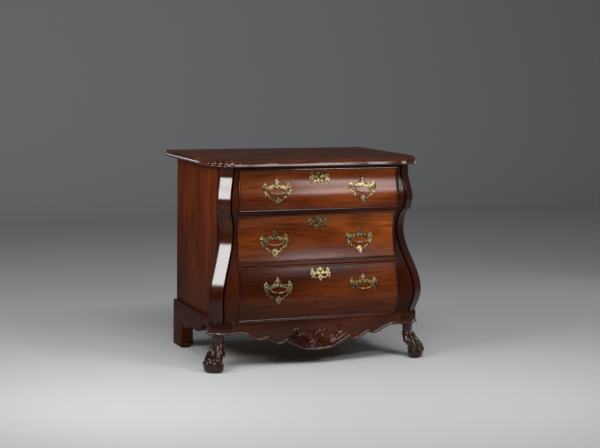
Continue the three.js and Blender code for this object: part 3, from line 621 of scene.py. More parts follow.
flower = (0.002, 0.118)
heart, heart_high = 0.0075, 0.0135
heart_rows = [
    (heart, 0.001), (heart, heart_high * 0.3), (heart * 0.86, heart_high * 0.72), (heart * 0.5, heart_high),
    (heart * 0.3, heart_high * 0.82), (heart * 0.12, heart_high * 0.8),
]
petal_rows = [(90, 0.029, 0.0125, 0.0110), (126, 0.023, 0.0085, 0.0080)]
petals = 5
petal_apart = 360 / petals
carving = []
for first, *size in petal_rows:
    carving += [petal(flower, first + petal_apart * n, *size) for n in range(petals)]
carving.append(turned(heart_rows, *flower, apron_front, 14))
fuller = 1.22
higher = 1.45
leaf_runs = [
    ([(0.020, 0.104), (0.048, 0.094), (0.074, 0.104), (0.086, 0.124), (0.074, 0.136)], 0.0085, 0.0080),
    ([(0.024, 0.112), (0.046, 0.108), (0.062, 0.117), (0.064, 0.130), (0.054, 0.136)], 0.0070, 0.0075),
    ([(0.060, 0.100), (0.082, 0.102), (0.102, 0.114), (0.120, 0.136)], 0.0065, 0.0065),
    ([(0.078, 0.110), (0.098, 0.124), (0.106, 0.142), (0.104, 0.156)], 0.0058, 0.0060),
    ([(0.034, 0.100), (0.052, 0.086), (0.072, 0.086), (0.088, 0.094)], 0.0060, 0.0060),
    ([(0.014, 0.098), (0.026, 0.084), (0.044, 0.078)], 0.0068, 0.0065),
    ([(0.010, 0.134), (0.026, 0.144), (0.042, 0.144), (0.052, 0.152)], 0.0060, 0.0062),
    ([(0.084, 0.126), (0.094, 0.140), (0.092, 0.154), (0.082, 0.160)], 0.0046, 0.0055),
    ([(0.096, 0.112), (0.114, 0.118), (0.132, 0.130)], 0.0046, 0.0050),
    ([(0.000, 0.098), (0.001, 0.088), (0.000, 0.076)], 0.0066, 0.0070),
]
for run, width, height in leaf_runs:
    sides = [run, [(-x, z) for x, z in run]] if run[0][0] > 0 else [run]
    carving += [leaf(path, width * fuller, height * higher) for path in sides]
apron_shape = together(board_shape, bead_shape, quirk_shape, *carving)
apron = made("apron", apron_shape, apron_wood, crease=42)
bead_faces = range(len(board_shape[1]), len(board_shape[1]) + len(bead_shape[1]))
picked_out(apron, (bead_wood,), lambda face: int(face.index in bead_faces))

# Plinth sides. Mahogany boards that stand a little proud of the case, so that their rounded top
# edge shows as a ledge. Each is fretted to lobes below and ends at the back in a bracket foot.
plinth_low, plinth_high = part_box("plinth_side_right")
side_edge_shares = [
    (0, 0.755, 0), (0.27, 0.775, -0.02), (0.53, 0.6, 0.04), (0.74, 0.535, 0.025), (0.763, 0.45, -0.02),
]
side_lobe_steps = 14
rear_foot = 0.115
eased_rows = [(0.0042, 0), (0.0026, 0.0004), (0.0012, 0.0013), (0.0003, 0.0026), (0, 0.0042)]
plinth_side_tones = ((0.024, 0.0062, 0.0030), (0.042, 0.0105, 0.0046), (0.066, 0.0165, 0.0066))
plinth_side_wood = polished("plinth side mahogany", 1, plinth_side_tones, shine=0.30, gloss=0.02)


def bow_between(start, end, bow, steps):
    """A bowed run between two points. A positive bow lies to the right of the way."""
    start, end = Vector(start), Vector(end)
    along = end - start
    middle = (start + end) / 2 + Vector((along.y, -along.x)).normalized() * 2 * bow
    shares = [step / steps for step in range(1, steps + 1)]
    return [start * (1 - t) ** 2 + middle * 2 * t * (1 - t) + end * t * t for t in shares]


def drawn_in(line, distance, sharpest=0.45):
    """A closed line moved inwards by a distance, square to itself. The line runs anticlockwise."""
    moved = []
    for i, place in enumerate(line):
        before = (place - line[i - 1]).normalized()
        after = (line[(i + 1) % len(line)] - place).normalized()
        left_before, left_after = Vector((-before.y, before.x)), Vector((-after.y, after.x))
        mitre = (left_before + left_after).normalized()
        moved.append(place + mitre * (distance / max(mitre.dot(left_after), sharpest)))
    return moved


foot_front = plinth_high.y - rear_foot
fretted_long = (foot_front - plinth_low.y) / side_edge_shares[-1][0]
side_line = [Vector((plinth_low.y, case_bottom * side_edge_shares[0][1]))]
for along, height, bow in side_edge_shares[1:]:
    knot = (plinth_low.y + fretted_long * along, case_bottom * height)
    side_line += bow_between(side_line[-1], knot, (plinth_high.y - plinth_low.y) * bow, side_lobe_steps)
side_line += [Vector(corner) for corner in (
    (foot_front, 0), (plinth_high.y, 0), (plinth_high.y, case_bottom), (plinth_low.y, case_bottom)
)]
plinth_rings = []
for x, inset in [(plinth_low.x, 0), *[(plinth_high.x - back, inset) for back, inset in eased_rows]]:
    line = drawn_in(side_line, inset)
    plinth_rings.append([(x, min(max(p.x, plinth_low.y), plinth_high.y), max(p.y, 0)) for p in line])
for name, shape in on_both_sides("plinth_side", skin(plinth_rings)):
    made(name, shape, plinth_side_wood)

# Back of the plinth. A plain oak board between the rear feet, cut away in the middle and nailed on.
# It is never polished, like the back of the case above it.
dressed("plinth_back", oak_long)

# Front feet. Short mahogany legs carved out of the solid and splayed along the corners. Each has a
# plain neck, ragged locks of hair at the ankle, and five knuckled toes that grip a ball with claws.
foot_low, foot_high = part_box("claw_foot_right")
leg_out = 0.012
leg_back = 0.001
leg_centre = Vector((side_face + leg_out, waist_y + leg_back, 0))
leg_half = 0.025
leg_deep = 0.84
squareness = 2.8
leg_steps = 40
leg_sides = 28
splay = 0.027
ball = 0.029
ball_deep = 1.04
ball_wide = 1.43
ball_lift = 0.002
ball_centre = leg_centre + Vector((splay, -splay, ball + ball_lift))
outward = Vector((1, -1, 0)).normalized()
across = Vector((1, 1, 0)).normalized()
leg_rows = [
    (0.26, 1.20, 1), (0.35, 1.34, 0.90), (0.43, 1.28, 0.62), (0.53, 1.10, 0.38), (0.625, 0.92, 0.20),
    (0.71, 0.87, 0.07), (0.785, 0.86, 0.01), (0.89, 0.92, 0), (0.955, 1.03, 0), (0.985, 1.12, 0),
    (1, 1.12, 0),
]
leg_width = fair_curve([(height, width) for height, width, out in leg_rows])
leg_travel = fair_curve([(height, out) for height, width, out in leg_rows])
leg_foot_share = 0.28


def on_leg(z, turn, stand=0.0):
    """A place on the skin of the leg at a height, or a little way off it."""
    share = z / leg_top
    middle = leg_centre + Vector((1, -1, 0)) * (splay * leg_travel(share)) + Vector((0, 0, z))
    c, s = math.cos(turn), math.sin(turn)
    half = leg_half * leg_width(share) * (abs(c) ** squareness + abs(s) ** squareness) ** (-1 / squareness)
    return middle + outward * ((half * leg_deep + stand) * c) + across * ((half + stand) * s)


def on_ball(turn, tilt, hold):
    """A place over the ball, so many radians round from the toe end and down from its crown."""
    level = hold * math.sin(tilt)
    place = outward * (level * math.cos(turn) * ball_deep) + across * (level * math.sin(turn) * ball_wide)
    return ball_centre + place + Vector((0, 0, hold * math.cos(tilt)))


foot_parts = [skin([
    [on_leg(leg_top * (leg_foot_share + (1 - leg_foot_share) * step / leg_steps), math.tau * n / leg_sides)
     for n in range(leg_sides)] for step in range(leg_steps + 1)
])]
ball_rows = [
    (0.0206, 0), (0.0234, 0.0012), (0.0260, 0.0046), (0.0282, 0.0100), (0.0296, 0.0165), (0.0300, 0.0235),
]
for degrees in range(94, 180, 8):
    rise = math.radians(degrees)
    ball_rows.append((ball * math.sin(rise), ball_centre.z - ball * math.cos(rise)))
foot_parts.append(skin([
    [Vector((*ball_centre.xy, z)) + outward * (r * ball_deep * c) + across * (r * ball_wide * s)
     for c, s in circle(32)] for r, z in ball_rows
]))
toe_width = fair_curve([
    (0, 0.0080), (0.18, 0.0086), (0.30, 0.0100), (0.46, 0.0072), (0.62, 0.0088), (0.74, 0.0066),
    (0.80, 0.0056), (0.92, 0.0042), (1, 0.0012),
])
toe_height = fair_curve([
    (0, 0.0060), (0.18, 0.0068), (0.30, 0.0084), (0.46, 0.0052), (0.62, 0.0072), (0.74, 0.0062),
    (0.80, 0.0066), (0.92, 0.0052), (1, 0.0012),
])
toe_places = [(-82, -9), (-27, -4), (27, 4), (82, 9), (180, 0)]
toe_steps = 23
toe_sunk = 0.0022
toe_start, toe_reach = 10, 118
knuckles = [(0.0018, 0.30, 0.09), (0.0010, 0.62, 0.08)]
for degrees, spread in toe_places:
    run = []
    for step in range(toe_steps + 1):
        share = step / toe_steps
        turn = math.radians(degrees - spread * (1 - share))
        knuckle = sum(high * math.exp(-((share - at) / long) ** 2) for high, at, long in knuckles)
        run.append(on_ball(turn, math.radians(toe_start + toe_reach * share), ball - toe_sunk + knuckle))
    rings = []
    for i, place in enumerate(run):
        along = way_along(run, i)
        lift = (place - ball_centre) - along * (place - ball_centre).dot(along)
        lift.normalize()
        side = along.cross(lift)
        wide, high = toe_width(i / toe_steps), toe_height(i / toe_steps)
        rings.append([place + side * (wide * c) + lift * (high * s) for c, s in circle(12)])
    foot_parts.append(skin(rings))
ribs, rib_share = 5, 0.16
strand_sides = 20
strand = []
for n in range(strand_sides):
    turn = math.tau * n / strand_sides
    ridge = 1 + rib_share * math.cos(ribs * turn)
    strand.append((ridge * math.cos(turn), ridge * math.sin(turn)))
hair_tiers = [(0.107, 0.088, 14, 0.0), (0.097, 0.074, 16, 0.5), (0.086, 0.062, 18, 0.2)]
lock_rows = [(0, -0.0030, 0), (0.25, 0.0012, 0.5), (0.5, 0.0028, 0.3), (0.78, 0.0040, -0.5), (1, 0.0062, 0.6)]
lock_wide = 0.0040
lock_thick = 0.0036
ragged_long = 0.008
ragged_out = 0.0018
bend_most = 0.16


def lock_reach(share):
    """Half the width and half the thickness of a lock of hair, which runs out to a point."""
    taper = 1.02 - share ** 1.8
    return lock_wide * taper, lock_thick * taper


locks = []
for tier, (root, tip, count, turn_by) in enumerate(hair_tiers):
    for n in range(count):
        turn = math.tau * (n + turn_by) / count
        ragged = 0.5 + 0.5 * math.sin(n * 2.4 + tier * 1.7)
        bend = bend_most * math.sin(n * 1.9 + tier * 1.3)
        low = tip - ragged_long * ragged
        knots = []
        for share, stand, curl in lock_rows:
            stand_out = stand + ragged_out * ragged * share
            knots.append(on_leg(root + (low - root) * share, turn + bend * curl, stand_out))
        away = outward * math.cos(turn) + across * math.sin(turn)
        locks.append(sweep(through(knots, 4), lock_reach, strand, away))
foot_tones = ((0.016, 0.0054, 0.0024), (0.036, 0.0122, 0.0052), (0.070, 0.0250, 0.0106))
foot_wood = polished("carved mahogany", 2, foot_tones, shine=0.16, streak=60, gloss=0.36)
foot_crease = 60
fused_size = 0.0011
kept_faces = 0.35


def carved(name, body, hair):
    """A foot whose cuts run into each other, as they do when it is carved from one block."""
    piece = made(name, body, foot_wood, crease=foot_crease)
    fuse = piece.modifiers.new("one block", "REMESH")
    fuse.mode = "VOXEL"
    fuse.voxel_size = fused_size
    soften = piece.modifiers.new("softened", "SMOOTH")
    soften.factor = 0.5
    soften.iterations = 1
    thin = piece.modifiers.new("fewer faces", "DECIMATE")
    thin.ratio = kept_faces
    fused, hair_mesh = as_made(piece), meshed("hair", hair)
    piece.modifiers.clear()
    work = bmesh.new()
    work.from_mesh(hair_mesh)
    work.from_mesh(fused)
    low_x, high_x = (foot_low.x, foot_high.x) if name.endswith("right") else (-foot_high.x, -foot_low.x)
    for vertex in work.verts:
        vertex.co.x = min(max(vertex.co.x, low_x), high_x)
        vertex.co.y = min(max(vertex.co.y, foot_low.y), foot_high.y)
        vertex.co.z = min(max(vertex.co.z, 0), leg_top)
    work.to_mesh(piece.data)
    work.free()
    for mesh in (hair_mesh, fused):
        bpy.data.meshes.remove(mesh)
    shaded(piece.data, foot_crease)


foot_shape, hair_shape = together(*foot_parts), together(*locks)
carved("claw_foot_right", foot_shape, hair_shape)
carved("claw_foot_left", turned_over(foot_shape), turned_over(hair_shape))

# Top. One wide mahogany board with a thumb moulding run round a serpentine edge of lobes. It is
# screwed down on the case from inside, and is darker and duller than the fronts.
top_low, top_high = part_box("top_board")
top_half = top_high.x
top_lobe_steps = 12
top_knots = [
    ((0.2024, -0.066), 0.0022), ((0.3496, -0.066), 0.0055), ((0.3925, -0.0552), 0.0066),
    ((0.4200, -0.0290), 0.0068), ((0.4368, 0.0046), 0.0068), ((0.4536, 0.0460), 0.0068),
    ((top_half, 0.160), 0.0052),
]
half_top = [Vector((0, top_low.y))]
for (x, y), bow in top_knots:
    half_top += bow_between(half_top[-1], (x, waist_y + y), bow, top_lobe_steps)
half_top += [Vector((top_half, top_high.y)), Vector((0, top_high.y))]
whole_top = half_top + [Vector((-p.x, p.y)) for p in reversed(half_top[1:-1])]
moulding_deep = 0.014
moulding_rows = [
    (0, 0.62), (0.02, 0.36), (0.06, 0.15), (0.10, 0.04), (0.14, 0), (0.18, 0.02), (0.24, 0.08),
    (0.30, 0.145), (0.36, 0.21), (0.40, 0.27), (0.44, 0.31), (0.50, 0.335), (0.58, 0.345), (0.68, 0.35),
    (0.79, 0.355), (0.88, 0.37), (0.935, 0.41), (0.968, 0.48), (0.988, 0.58), (1.0, 0.72),
]
top_thick = top_high.z - top_low.z
bulge_share = 0.60
top_rings = []
for height, inset in moulding_rows:
    line = drawn_in(whole_top, inset * moulding_deep)
    top_rings.append([(p.x, min(p.y, top_high.y), top_low.z + height * top_thick) for p in line])
top_tones = ((0.040, 0.0115, 0.0055), (0.068, 0.0195, 0.0090), (0.098, 0.0300, 0.0135))
top_wood = polished("top mahogany", 0, top_tones, shine=0.42, gloss=0.06)
moulding_tones = ((0.030, 0.0070, 0.0030), (0.060, 0.0150, 0.0052), (0.100, 0.0270, 0.0085))
moulding_wood = polished("moulding mahogany", 0, moulding_tones, shine=0.17, gloss=0.42, coat=0.16)
bulge_top = top_low.z + bulge_share * top_thick
nearly_up = 0.999
top = made("top_board", skin(top_rings), top_wood, crease=32)
picked_out(top, (moulding_wood,),
           lambda face: int(abs(face.normal.z) < nearly_up and face.center.z < bulge_top))

# Drawer fronts. Solid mahogany shaped to the swell, with a cock bead let in round each edge and a
# shallow groove inside it. Each is cut away behind for its lock and bored for the keyhole.
cock_bead_rows = [
    (0, 0), (0.0004, 0.0011), (0.0011, 0.0018), (0.0020, 0.0021), (0.0029, 0.0018), (0.0036, 0.0011),
    (0.0040, 0), (0.0046, -0.0011), (0.0056, -0.0011), (0.0066, 0),
]
cock_bead_wide = 0.0040
cock_groove_end = 0.0056
bead_insets = [inset for inset, proud in cock_bead_rows]
bead_profile = fair_curve(cock_bead_rows)
# The bottom drawer's tones are about half those of the two above it: painted shade on the lowest front.
drawer_tones = {
    "top": ((0.112, 0.0185, 0.0028), (0.215, 0.0440, 0.0058), (0.320, 0.0820, 0.0120)),
    "middle": ((0.084, 0.0142, 0.0021), (0.205, 0.0440, 0.0056), (0.345, 0.0900, 0.0135)),
    "bottom": ((0.048, 0.0084, 0.0018), (0.096, 0.0184, 0.0031), (0.150, 0.0335, 0.0062)),
}
front_lay = {"top": (0.05, (0.3, 0, 0.1)), "middle": (0.16, (1.3, 0, 0.7)), "bottom": (0.08, (2.6, 0, 1.9))}
front_thickness = 0.024
across_gap = 0.045
up_gap = 0.0055
key_drop = 0.029
key_reach = 0.090
keyhole_radius = 0.003
keyhole_long = 0.007
keyhole_steps = 12
lock_play = 0.0003
# Painted shade: each front darkens towards its left end, to a little over half its colour.
front_painted_shade = ("X", -0.36, 0.02, 0.55, 1.0)


def stations(low, high, gap):
    """Places across a front: close together over its beads and even between them."""
    inner_low, inner_high = low + bead_insets[-1], high - bead_insets[-1]
    count = max(round((inner_high - inner_low) / gap), 1)
    inner = [inner_low + (inner_high - inner_low) * step / count for step in range(1, count)]
    return [low + inset for inset in bead_insets] + inner + [high - inset for inset in reversed(bead_insets)]


def edge_distance(x, z, low, high):
    """How far a place on a front lies from its nearest edge."""
    return min(x - low.x, high.x - x, z - low.z, high.z - z)


def swelled_front(low, high):
    """A drawer front: a beaded face and a back that follow the swell, joined round the rim."""
    across_places = stations(low.x, high.x, across_gap)
    up_places = stations(low.z, high.z, up_gap)
    face, back, faces = [], [], []
    for z in up_places:
        for x in across_places:
            inset = edge_distance(x, z, low, high)
            proud = bead_profile(inset) if inset < bead_insets[-1] else 0
            face.append((x, front_y(z) - proud, z))
            back.append((x, front_y(z) + front_thickness, z))
    wide, tall = len(across_places), len(up_places)
    size = wide * tall
    for row in range(tall - 1):
        for column in range(wide - 1):
            corner = row * wide + column
            faces.append((corner, corner + 1, corner + 1 + wide, corner + wide))
            faces.append(tuple(size + i for i in (corner, corner + wide, corner + 1 + wide, corner + 1)))
    rim = list(range(wide)) + [row * wide + wide - 1 for row in range(1, tall)]
    rim += [(tall - 1) * wide + column for column in range(wide - 2, -1, -1)]
    rim += [row * wide for row in range(tall - 2, 0, -1)]
    faces += [(here, here + size, after + size, after) for here, after in zip(rim, rim[1:] + rim[:1])]
    return face + back, faces


def front_finish(panel, low, high):
    """The bead, the painted shade in the groove inside it, or the wood of the front."""
    x, y, z = panel.center
    inset = edge_distance(x, z, low, high)
    if y >= front_y(z) + front_thickness / 2:
        return 0
    return 1 if inset < cock_bead_wide else 2 if inset < cock_groove_end else 0


def keyhole_line(middle, grow=0.0):
    """The outline of a keyhole around a height: a round hole with a slot that hangs from it."""
    radius = keyhole_radius + grow
    start = math.asin(0.5)
    line = []
    for n in range(keyhole_steps + 1):
        turn = -math.pi / 2 + start + (math.tau - 2 * start) * n / keyhole_steps
        line.append((radius * math.cos(turn), radius * math.sin(turn)))
    line += [(x, -keyhole_long - grow) for x in (-radius / 2, radius / 2)]
    return [(x, z + middle) for x, z in line]


for drawer in drawers:
    low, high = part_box("drawer_" + drawer + "_front")
    tilt, shift = front_lay[drawer]
    front_wood = polished(drawer + " drawer mahogany", 0, drawer_tones[drawer], shine=0.18, tilt=tilt,
                          shift=shift, gloss=0.17, painted_shade_run=front_painted_shade)
    piece = made("drawer_" + drawer + "_front", swelled_front(low, high), front_wood, body=drawer + "_drawer")
    # The groove inside the cock bead is painted near black as shade.
    picked_out(piece, (bead_wood, painted_groove_shade), lambda panel: front_finish(panel, low, high))
    lock_low, lock_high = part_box("lock_case_" + drawer)
    cut_away(piece, block((lock_low.x - lock_play, lock_low.y - lock_play, lock_low.z - lock_play),
                          (lock_high.x + lock_play, lock_high.y + front_swell, lock_high.z + overrun)))
    hole = keyhole_line(high.z - key_drop)
    cut_away(piece, skin([[(x, y, z) for x, z in hole] for y in (waist_y - key_reach, lock_low.y + overrun)]))

# Drawer boxes. Oak sides, backs and bottoms, planed but unpolished. The corners are dovetailed and
# each bottom is nailed up from below.
box_eased = 0.0006
box_boards = {"side_left": oak_deep, "side_right": oak_deep, "back": oak_long, "bottom": oak_long}
for drawer in drawers:
    for board, oak in box_boards.items():
        dressed("drawer_" + drawer + "_" + board, oak, box_eased)


# Locks. Cast brass cases let into the drawer fronts from behind, each with a sliding bolt that the
# key throws up into the rail above.
def cast_brass(name, tones, rough, patina):
    """Old cast brass: rubbed bright in places and brown with age in others."""
    metal, tree = new_finish(name)
    place = tree.nodes.new("ShaderNodeTexCoord").outputs["Object"]

    def mottled(scale, detail):
        spots = {"Vector": place, "Scale": scale, "Detail": detail}
        return fed(tree.nodes.new("ShaderNodeTexNoise"), spots).outputs["Fac"]

    worn, pits = mottled(130, 4), mottled(600, 3)
    sockets = {
        "Base Color": toned(tree, worn, [(0.5 - patina, tones[0]), (0.5 + patina, tones[1])]),
        "Metallic": 1,
    }
    surfaced(tree, sockets, worn, (rough + 0.12, rough - 0.08), pits, 0.35, 0.0003)
    return metal


lock_metal = cast_brass("lock brass", ((0.20, 0.135, 0.045), (0.42, 0.31, 0.12)), 0.42, 0.16)
case_eased = 0.0004
bolt_eased = 0.0005
for drawer in drawers:
    dressed("lock_case_" + drawer, lock_metal, case_eased)
    dressed("lock_bolt_" + drawer, lock_metal, bolt_eased)

# Escutcheons. Thin cast brass plates, sawn out and pierced, with chased lines on their faces. Each
# is bent to the swell of the front and pinned round the keyhole.
plate_metal = cast_brass("plate brass", ((0.040, 0.028, 0.011), (0.390, 0.300, 0.150)), 0.38, 0.11)
escutcheon_thick = 0.0025
escutcheon_soft = 0.0007
escutcheon_ridge = 0.0009
keyhole_room = 0.0004
pin_room = 0.0003
ridge_sunk = 0.2
ridge_end, ridge_least = 0.04, 0.35


def smooth_loop(line, steps=3):
    """A smooth closed line in the (x, z) plane through some places."""
    return [tuple(p) for p in through(line, steps, closed=True)]


def closed_line(half):
    """A smooth closed line from its right half, both ends on the middle line."""
    return smooth_loop([*half, *[(-x, z) for x, z in reversed(half[1:-1])]], 2)


def fretted(outline, holes, thick, soft):
    """A flat plate sawn out along a line and round its holes, its edges filed round."""
    drawing = bpy.data.curves.new("fret", "CURVE")
    drawing.dimensions = "2D"
    drawing.fill_mode = "BOTH"
    drawing.extrude = thick / 2 - soft
    drawing.bevel_depth = soft
    drawing.bevel_resolution = 2
    drawing.offset = -soft
    for line in [outline, *holes]:
        loop = drawing.splines.new("POLY")
        loop.points.add(len(line) - 1)
        for point, (x, z) in zip(loop.points, line):
            point.co = (x, z, 0, 1)
        loop.use_cyclic_u = True
    sheet = set_down("fret", drawing)
    mesh = as_made(sheet)
    shape = ([tuple(v.co) for v in mesh.vertices], [tuple(p.vertices) for p in mesh.polygons])
    bpy.data.objects.remove(sheet)
    bpy.data.curves.remove(drawing)
    bpy.data.meshes.remove(mesh)
    return shape


def chased(line, radius, thick):
    """A raised line left standing on the face of a plate."""
    path = [Vector((x, z, thick / 2 - radius * ridge_sunk)) for x, z in through(line, 4)]

    def taper(share):
        swell = math.sin(math.pi * min(max(share, ridge_end), 1 - ridge_end)) ** 0.5
        return (radius * (ridge_least + (1 - ridge_least) * swell),) * 2

    return sweep(path, taper, circle(6), Vector((0, 0, 1)))


def on_front(shape, x, z, thick):
    """Lays a flat shape on the drawer front around a place, bent to the swell."""
    points, faces = shape
    laid = [(x + a, front_y(z + b) - pin_room - thick / 2 - c, z + b) for a, b, c in points]
    return laid, faces


def mirrored_lines(lines):
    """Lines of the right half, and their mirror images where they leave the middle line."""
    return [*lines, *[[(-x, z) for x, z in line] for line in lines if any(x for x, z in line)]]


escutcheon_half = [
    (0, 0.0200), (0.0040, 0.0196), (0.0066, 0.0185), (0.0105, 0.0150), (0.0120, 0.0125), (0.0145, 0.0070),
    (0.0172, 0.0030), (0.0205, 0.0008), (0.0235, 0), (0.0262, 0.0040), (0.0280, 0.0070), (0.0305, 0.0118),
    (0.0336, 0.0176), (0.0372, 0.0130), (0.0400, 0.0083), (0.0402, 0.0030), (0.0428, -0.0010),
    (0.0450, -0.0052), (0.0437, -0.0100), (0.0412, -0.0140), (0.0392, -0.0168), (0.0390, -0.0240),
    (0.0380, -0.0300), (0.0366, -0.0240), (0.0356, -0.0197), (0.0334, -0.0160), (0.0310, -0.0137),
    (0.0284, -0.0190), (0.0258, -0.0226), (0.0215, -0.0232), (0.0170, -0.0212), (0.0140, -0.0218),
    (0.0100, -0.0242), (0.0062, -0.0285), (0.0034, -0.0325), (0, -0.0373),
]
escutcheon_holes = [
    [(0.0085, -0.0100), (0.0100, -0.0160), (0.0140, -0.0180), (0.0200, -0.0175), (0.0245, -0.0150),
     (0.0255, -0.0100), (0.0220, -0.0078), (0.0180, -0.0072), (0.0130, -0.0060)],
    [(0.0060, 0.0110), (0.0075, 0.0060), (0.0110, 0.0050), (0.0095, 0.0100)],
    [(0.0330, -0.0060), (0.0345, -0.0110), (0.0375, -0.0120), (0.0385, -0.0070), (0.0360, -0.0040)],
]
escutcheon_chasing = [
    [(0, 0.0185), (0.0055, 0.0165), (0.0095, 0.0125), (0.0125, 0.0060), (0.0170, 0.0010), (0.0235, -0.0022)],
    [(0.0336, 0.0155), (0.0330, 0.0080), (0.0325, 0), (0.0350, -0.0020)],
    [(0.0290, 0.0060), (0.0290, 0.0010), (0.0270, -0.0050), (0.0285, -0.0120)],
    [(0.0375, 0.0090), (0.0375, 0.0020), (0.0415, -0.0050)],
    [(0.0425, -0.0100), (0.0385, -0.0170), (0.0380, -0.0270)],
    [(0.0060, -0.0120), (0.0070, -0.0190), (0.0040, -0.0260), (0, -0.0345)],
    [(0, -0.0140), (0, -0.0240), (0, -0.0350)],
    [(0.0105, -0.0225), (0.0170, -0.0196), (0.0225, -0.0208), (0.0270, -0.0185)],
    [(0.0060, -0.0040), (0.0150, -0.0035), (0.0230, -0.0045), (0.0285, -0.0070)],
]
escutcheon_outline = closed_line(escutcheon_half)
escutcheon_piercing = [smooth_loop(hole) for hole in mirrored_lines(escutcheon_holes)]
escutcheon_piercing.append(keyhole_line(0, keyhole_room))
for drawer in drawers:
    key_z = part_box("drawer_" + drawer + "_front")[1].z - key_drop
    flat = fretted(escutcheon_outline, escutcheon_piercing, escutcheon_thick, escutcheon_soft)
    lines = [chased(line, escutcheon_ridge, escutcheon_thick) for line in mirrored_lines(escutcheon_chasing)]
    shape = on_front(together(flat, *lines), 0, key_z, escutcheon_thick)
    made("escutcheon_" + drawer, shape, plate_metal, drawer + "_drawer", crease=50)

# Back plates of the handles. Cast brass, pierced and chased: a finial, two fanned ears, a bar, and
# a garland that hangs to a leaf. Two turned posts are riveted in each. One has lost its garland.
plate_thick = 0.003
plate_soft = 0.0009
plate_ridge = 0.0010
post_apart = 0.051
pivot_reach = 0.010
handle_shares = {"top": 0.861, "middle": 0.524, "bottom": 0.225}
handle_across = 0.187
handle_places = [
    (drawer, side, x, case_bottom + case_height * handle_shares[drawer])
    for drawer in drawers for side, x in (("left", -handle_across), ("right", handle_across))
]
crown_half = [
    (0, 0.0390), (0.0018, 0.0358), (0.0035, 0.0330), (0.0060, 0.0298), (0.0090, 0.0260), (0.0112, 0.0240),
    (0.0130, 0.0220), (0.0145, 0.0180), (0.0170, 0.0140), (0.0205, 0.0115), (0.0240, 0.0095),
    (0.0320, 0.0080), (0.0375, 0.0079), (0.0410, 0.0085), (0.0440, 0.0120), (0.0452, 0.0150),
    (0.0460, 0.0180), (0.0480, 0.0215), (0.0500, 0.0222), (0.0520, 0.0195), (0.0540, 0.0160),
    (0.0575, 0.0125), (0.0605, 0.0080), (0.0610, 0), (0.0610, -0.0080), (0.0595, -0.0130),
    (0.0570, -0.0170), (0.0540, -0.0205), (0.0510, -0.0230), (0.0516, -0.0265), (0.0518, -0.0300),
    (0.0512, -0.0340), (0.0500, -0.0372), (0.0488, -0.0335), (0.0480, -0.0300), (0.0474, -0.0268),
    (0.0465, -0.0244), (0.0440, -0.0240),
]
garland_half = [
    (0.0412, -0.0255), (0.0412, -0.0292), (0.0415, -0.0330), (0.0388, -0.0365), (0.0350, -0.0395),
    (0.0320, -0.0402), (0.0290, -0.0410), (0.0265, -0.0445), (0.0240, -0.0480), (0.0205, -0.0498),
    (0.0170, -0.0510), (0.0148, -0.0500), (0.0130, -0.0500), (0.0122, -0.0535), (0.0100, -0.0580),
    (0.0070, -0.0625), (0.0040, -0.0662), (0, -0.0695),
]
large_opening = [
    (0, -0.0005), (0.0065, -0.0004), (0.0120, -0.0010), (0.0175, -0.0028), (0.0220, -0.0045),
    (0.0255, -0.0060), (0.0290, -0.0070), (0.0370, -0.0080), (0.0410, -0.0098), (0.0430, -0.0120),
    (0.0420, -0.0160), (0.0405, -0.0200), (0.0388, -0.0225), (0.0370, -0.0250), (0.0368, -0.0280),
    (0.0365, -0.0310), (0.0340, -0.0335), (0.0310, -0.0355), (0.0255, -0.0370), (0.0232, -0.0402),
    (0.0210, -0.0430), (0.0165, -0.0465), (0.0142, -0.0458), (0.0120, -0.0440), (0.0090, -0.0420),
    (0.0062, -0.0402), (0.0040, -0.0385), (0, -0.0370),
]
eye_holes = [
    [(0.0035, 0.0130), (0.0085, 0.0112), (0.0150, 0.0112), (0.0122, 0.0165), (0.0085, 0.0215),
     (0.0045, 0.0180)],
    [(0.0490, 0.0050), (0.0530, 0.0035), (0.0540, -0.0040), (0.0515, -0.0100), (0.0490, -0.0040)],
    [(0.0440, -0.0130), (0.0470, -0.0080), (0.0485, -0.0140), (0.0462, -0.0190)],
]
crown_chasing = [
    [(0, 0.0360), (0.0020, 0.0290), (0.0010, 0.0235), (0, 0.0200)],
    [(0.0010, 0.0345), (0.0070, 0.0265), (0.0125, 0.0205), (0.0160, 0.0130), (0.0230, 0.0070),
     (0.0330, 0.0040)],
    [(0.0030, 0.0095), (0.0110, 0.0070), (0.0200, 0.0050), (0.0300, 0.0012), (0.0420, 0.0010)],
    [(0.0030, 0.0035), (0.0130, 0.0030), (0.0240, -0.0005), (0.0330, -0.0035), (0.0420, -0.0035)],
    [(0.0500, 0.0200), (0.0480, 0.0120), (0.0465, 0.0020), (0.0455, -0.0080)],
    [(0.0545, 0.0135), (0.0570, 0.0060), (0.0575, -0.0040), (0.0555, -0.0130), (0.0510, -0.0200)],
    [(0.0600, 0.0060), (0.0598, -0.0060), (0.0575, -0.0140)],
    [(0.0495, -0.0220), (0.0500, -0.0280), (0.0500, -0.0345)],
    [(0.0460, 0.0140), (0.0430, 0.0080), (0.0410, -0.0010), (0.0435, -0.0090)],
]
garland_chasing = [
    [(0.0440, -0.0215), (0.0395, -0.0260), (0.0388, -0.0320), (0.0330, -0.0375), (0.0272, -0.0392),
     (0.0225, -0.0452), (0.0165, -0.0488), (0.0130, -0.0475)],
    [(0, -0.0400), (0, -0.0520), (0, -0.0670)],
    [(0.0045, -0.0420), (0.0080, -0.0480), (0.0070, -0.0560), (0.0025, -0.0630)],
    [(0.0090, -0.0445), (0.0115, -0.0500), (0.0100, -0.0560)],
]
bar_points = 13
post_rows = [
    (0.0072, -0.0010), (0.0072, 0.0010), (0.0060, 0.0020), (0.0040, 0.0032), (0.0034, 0.0056),
    (0.0044, 0.0070), (0.0048, 0.0100), (0.0046, 0.0125), (0.0036, 0.0142), (0.0018, 0.0149),
]


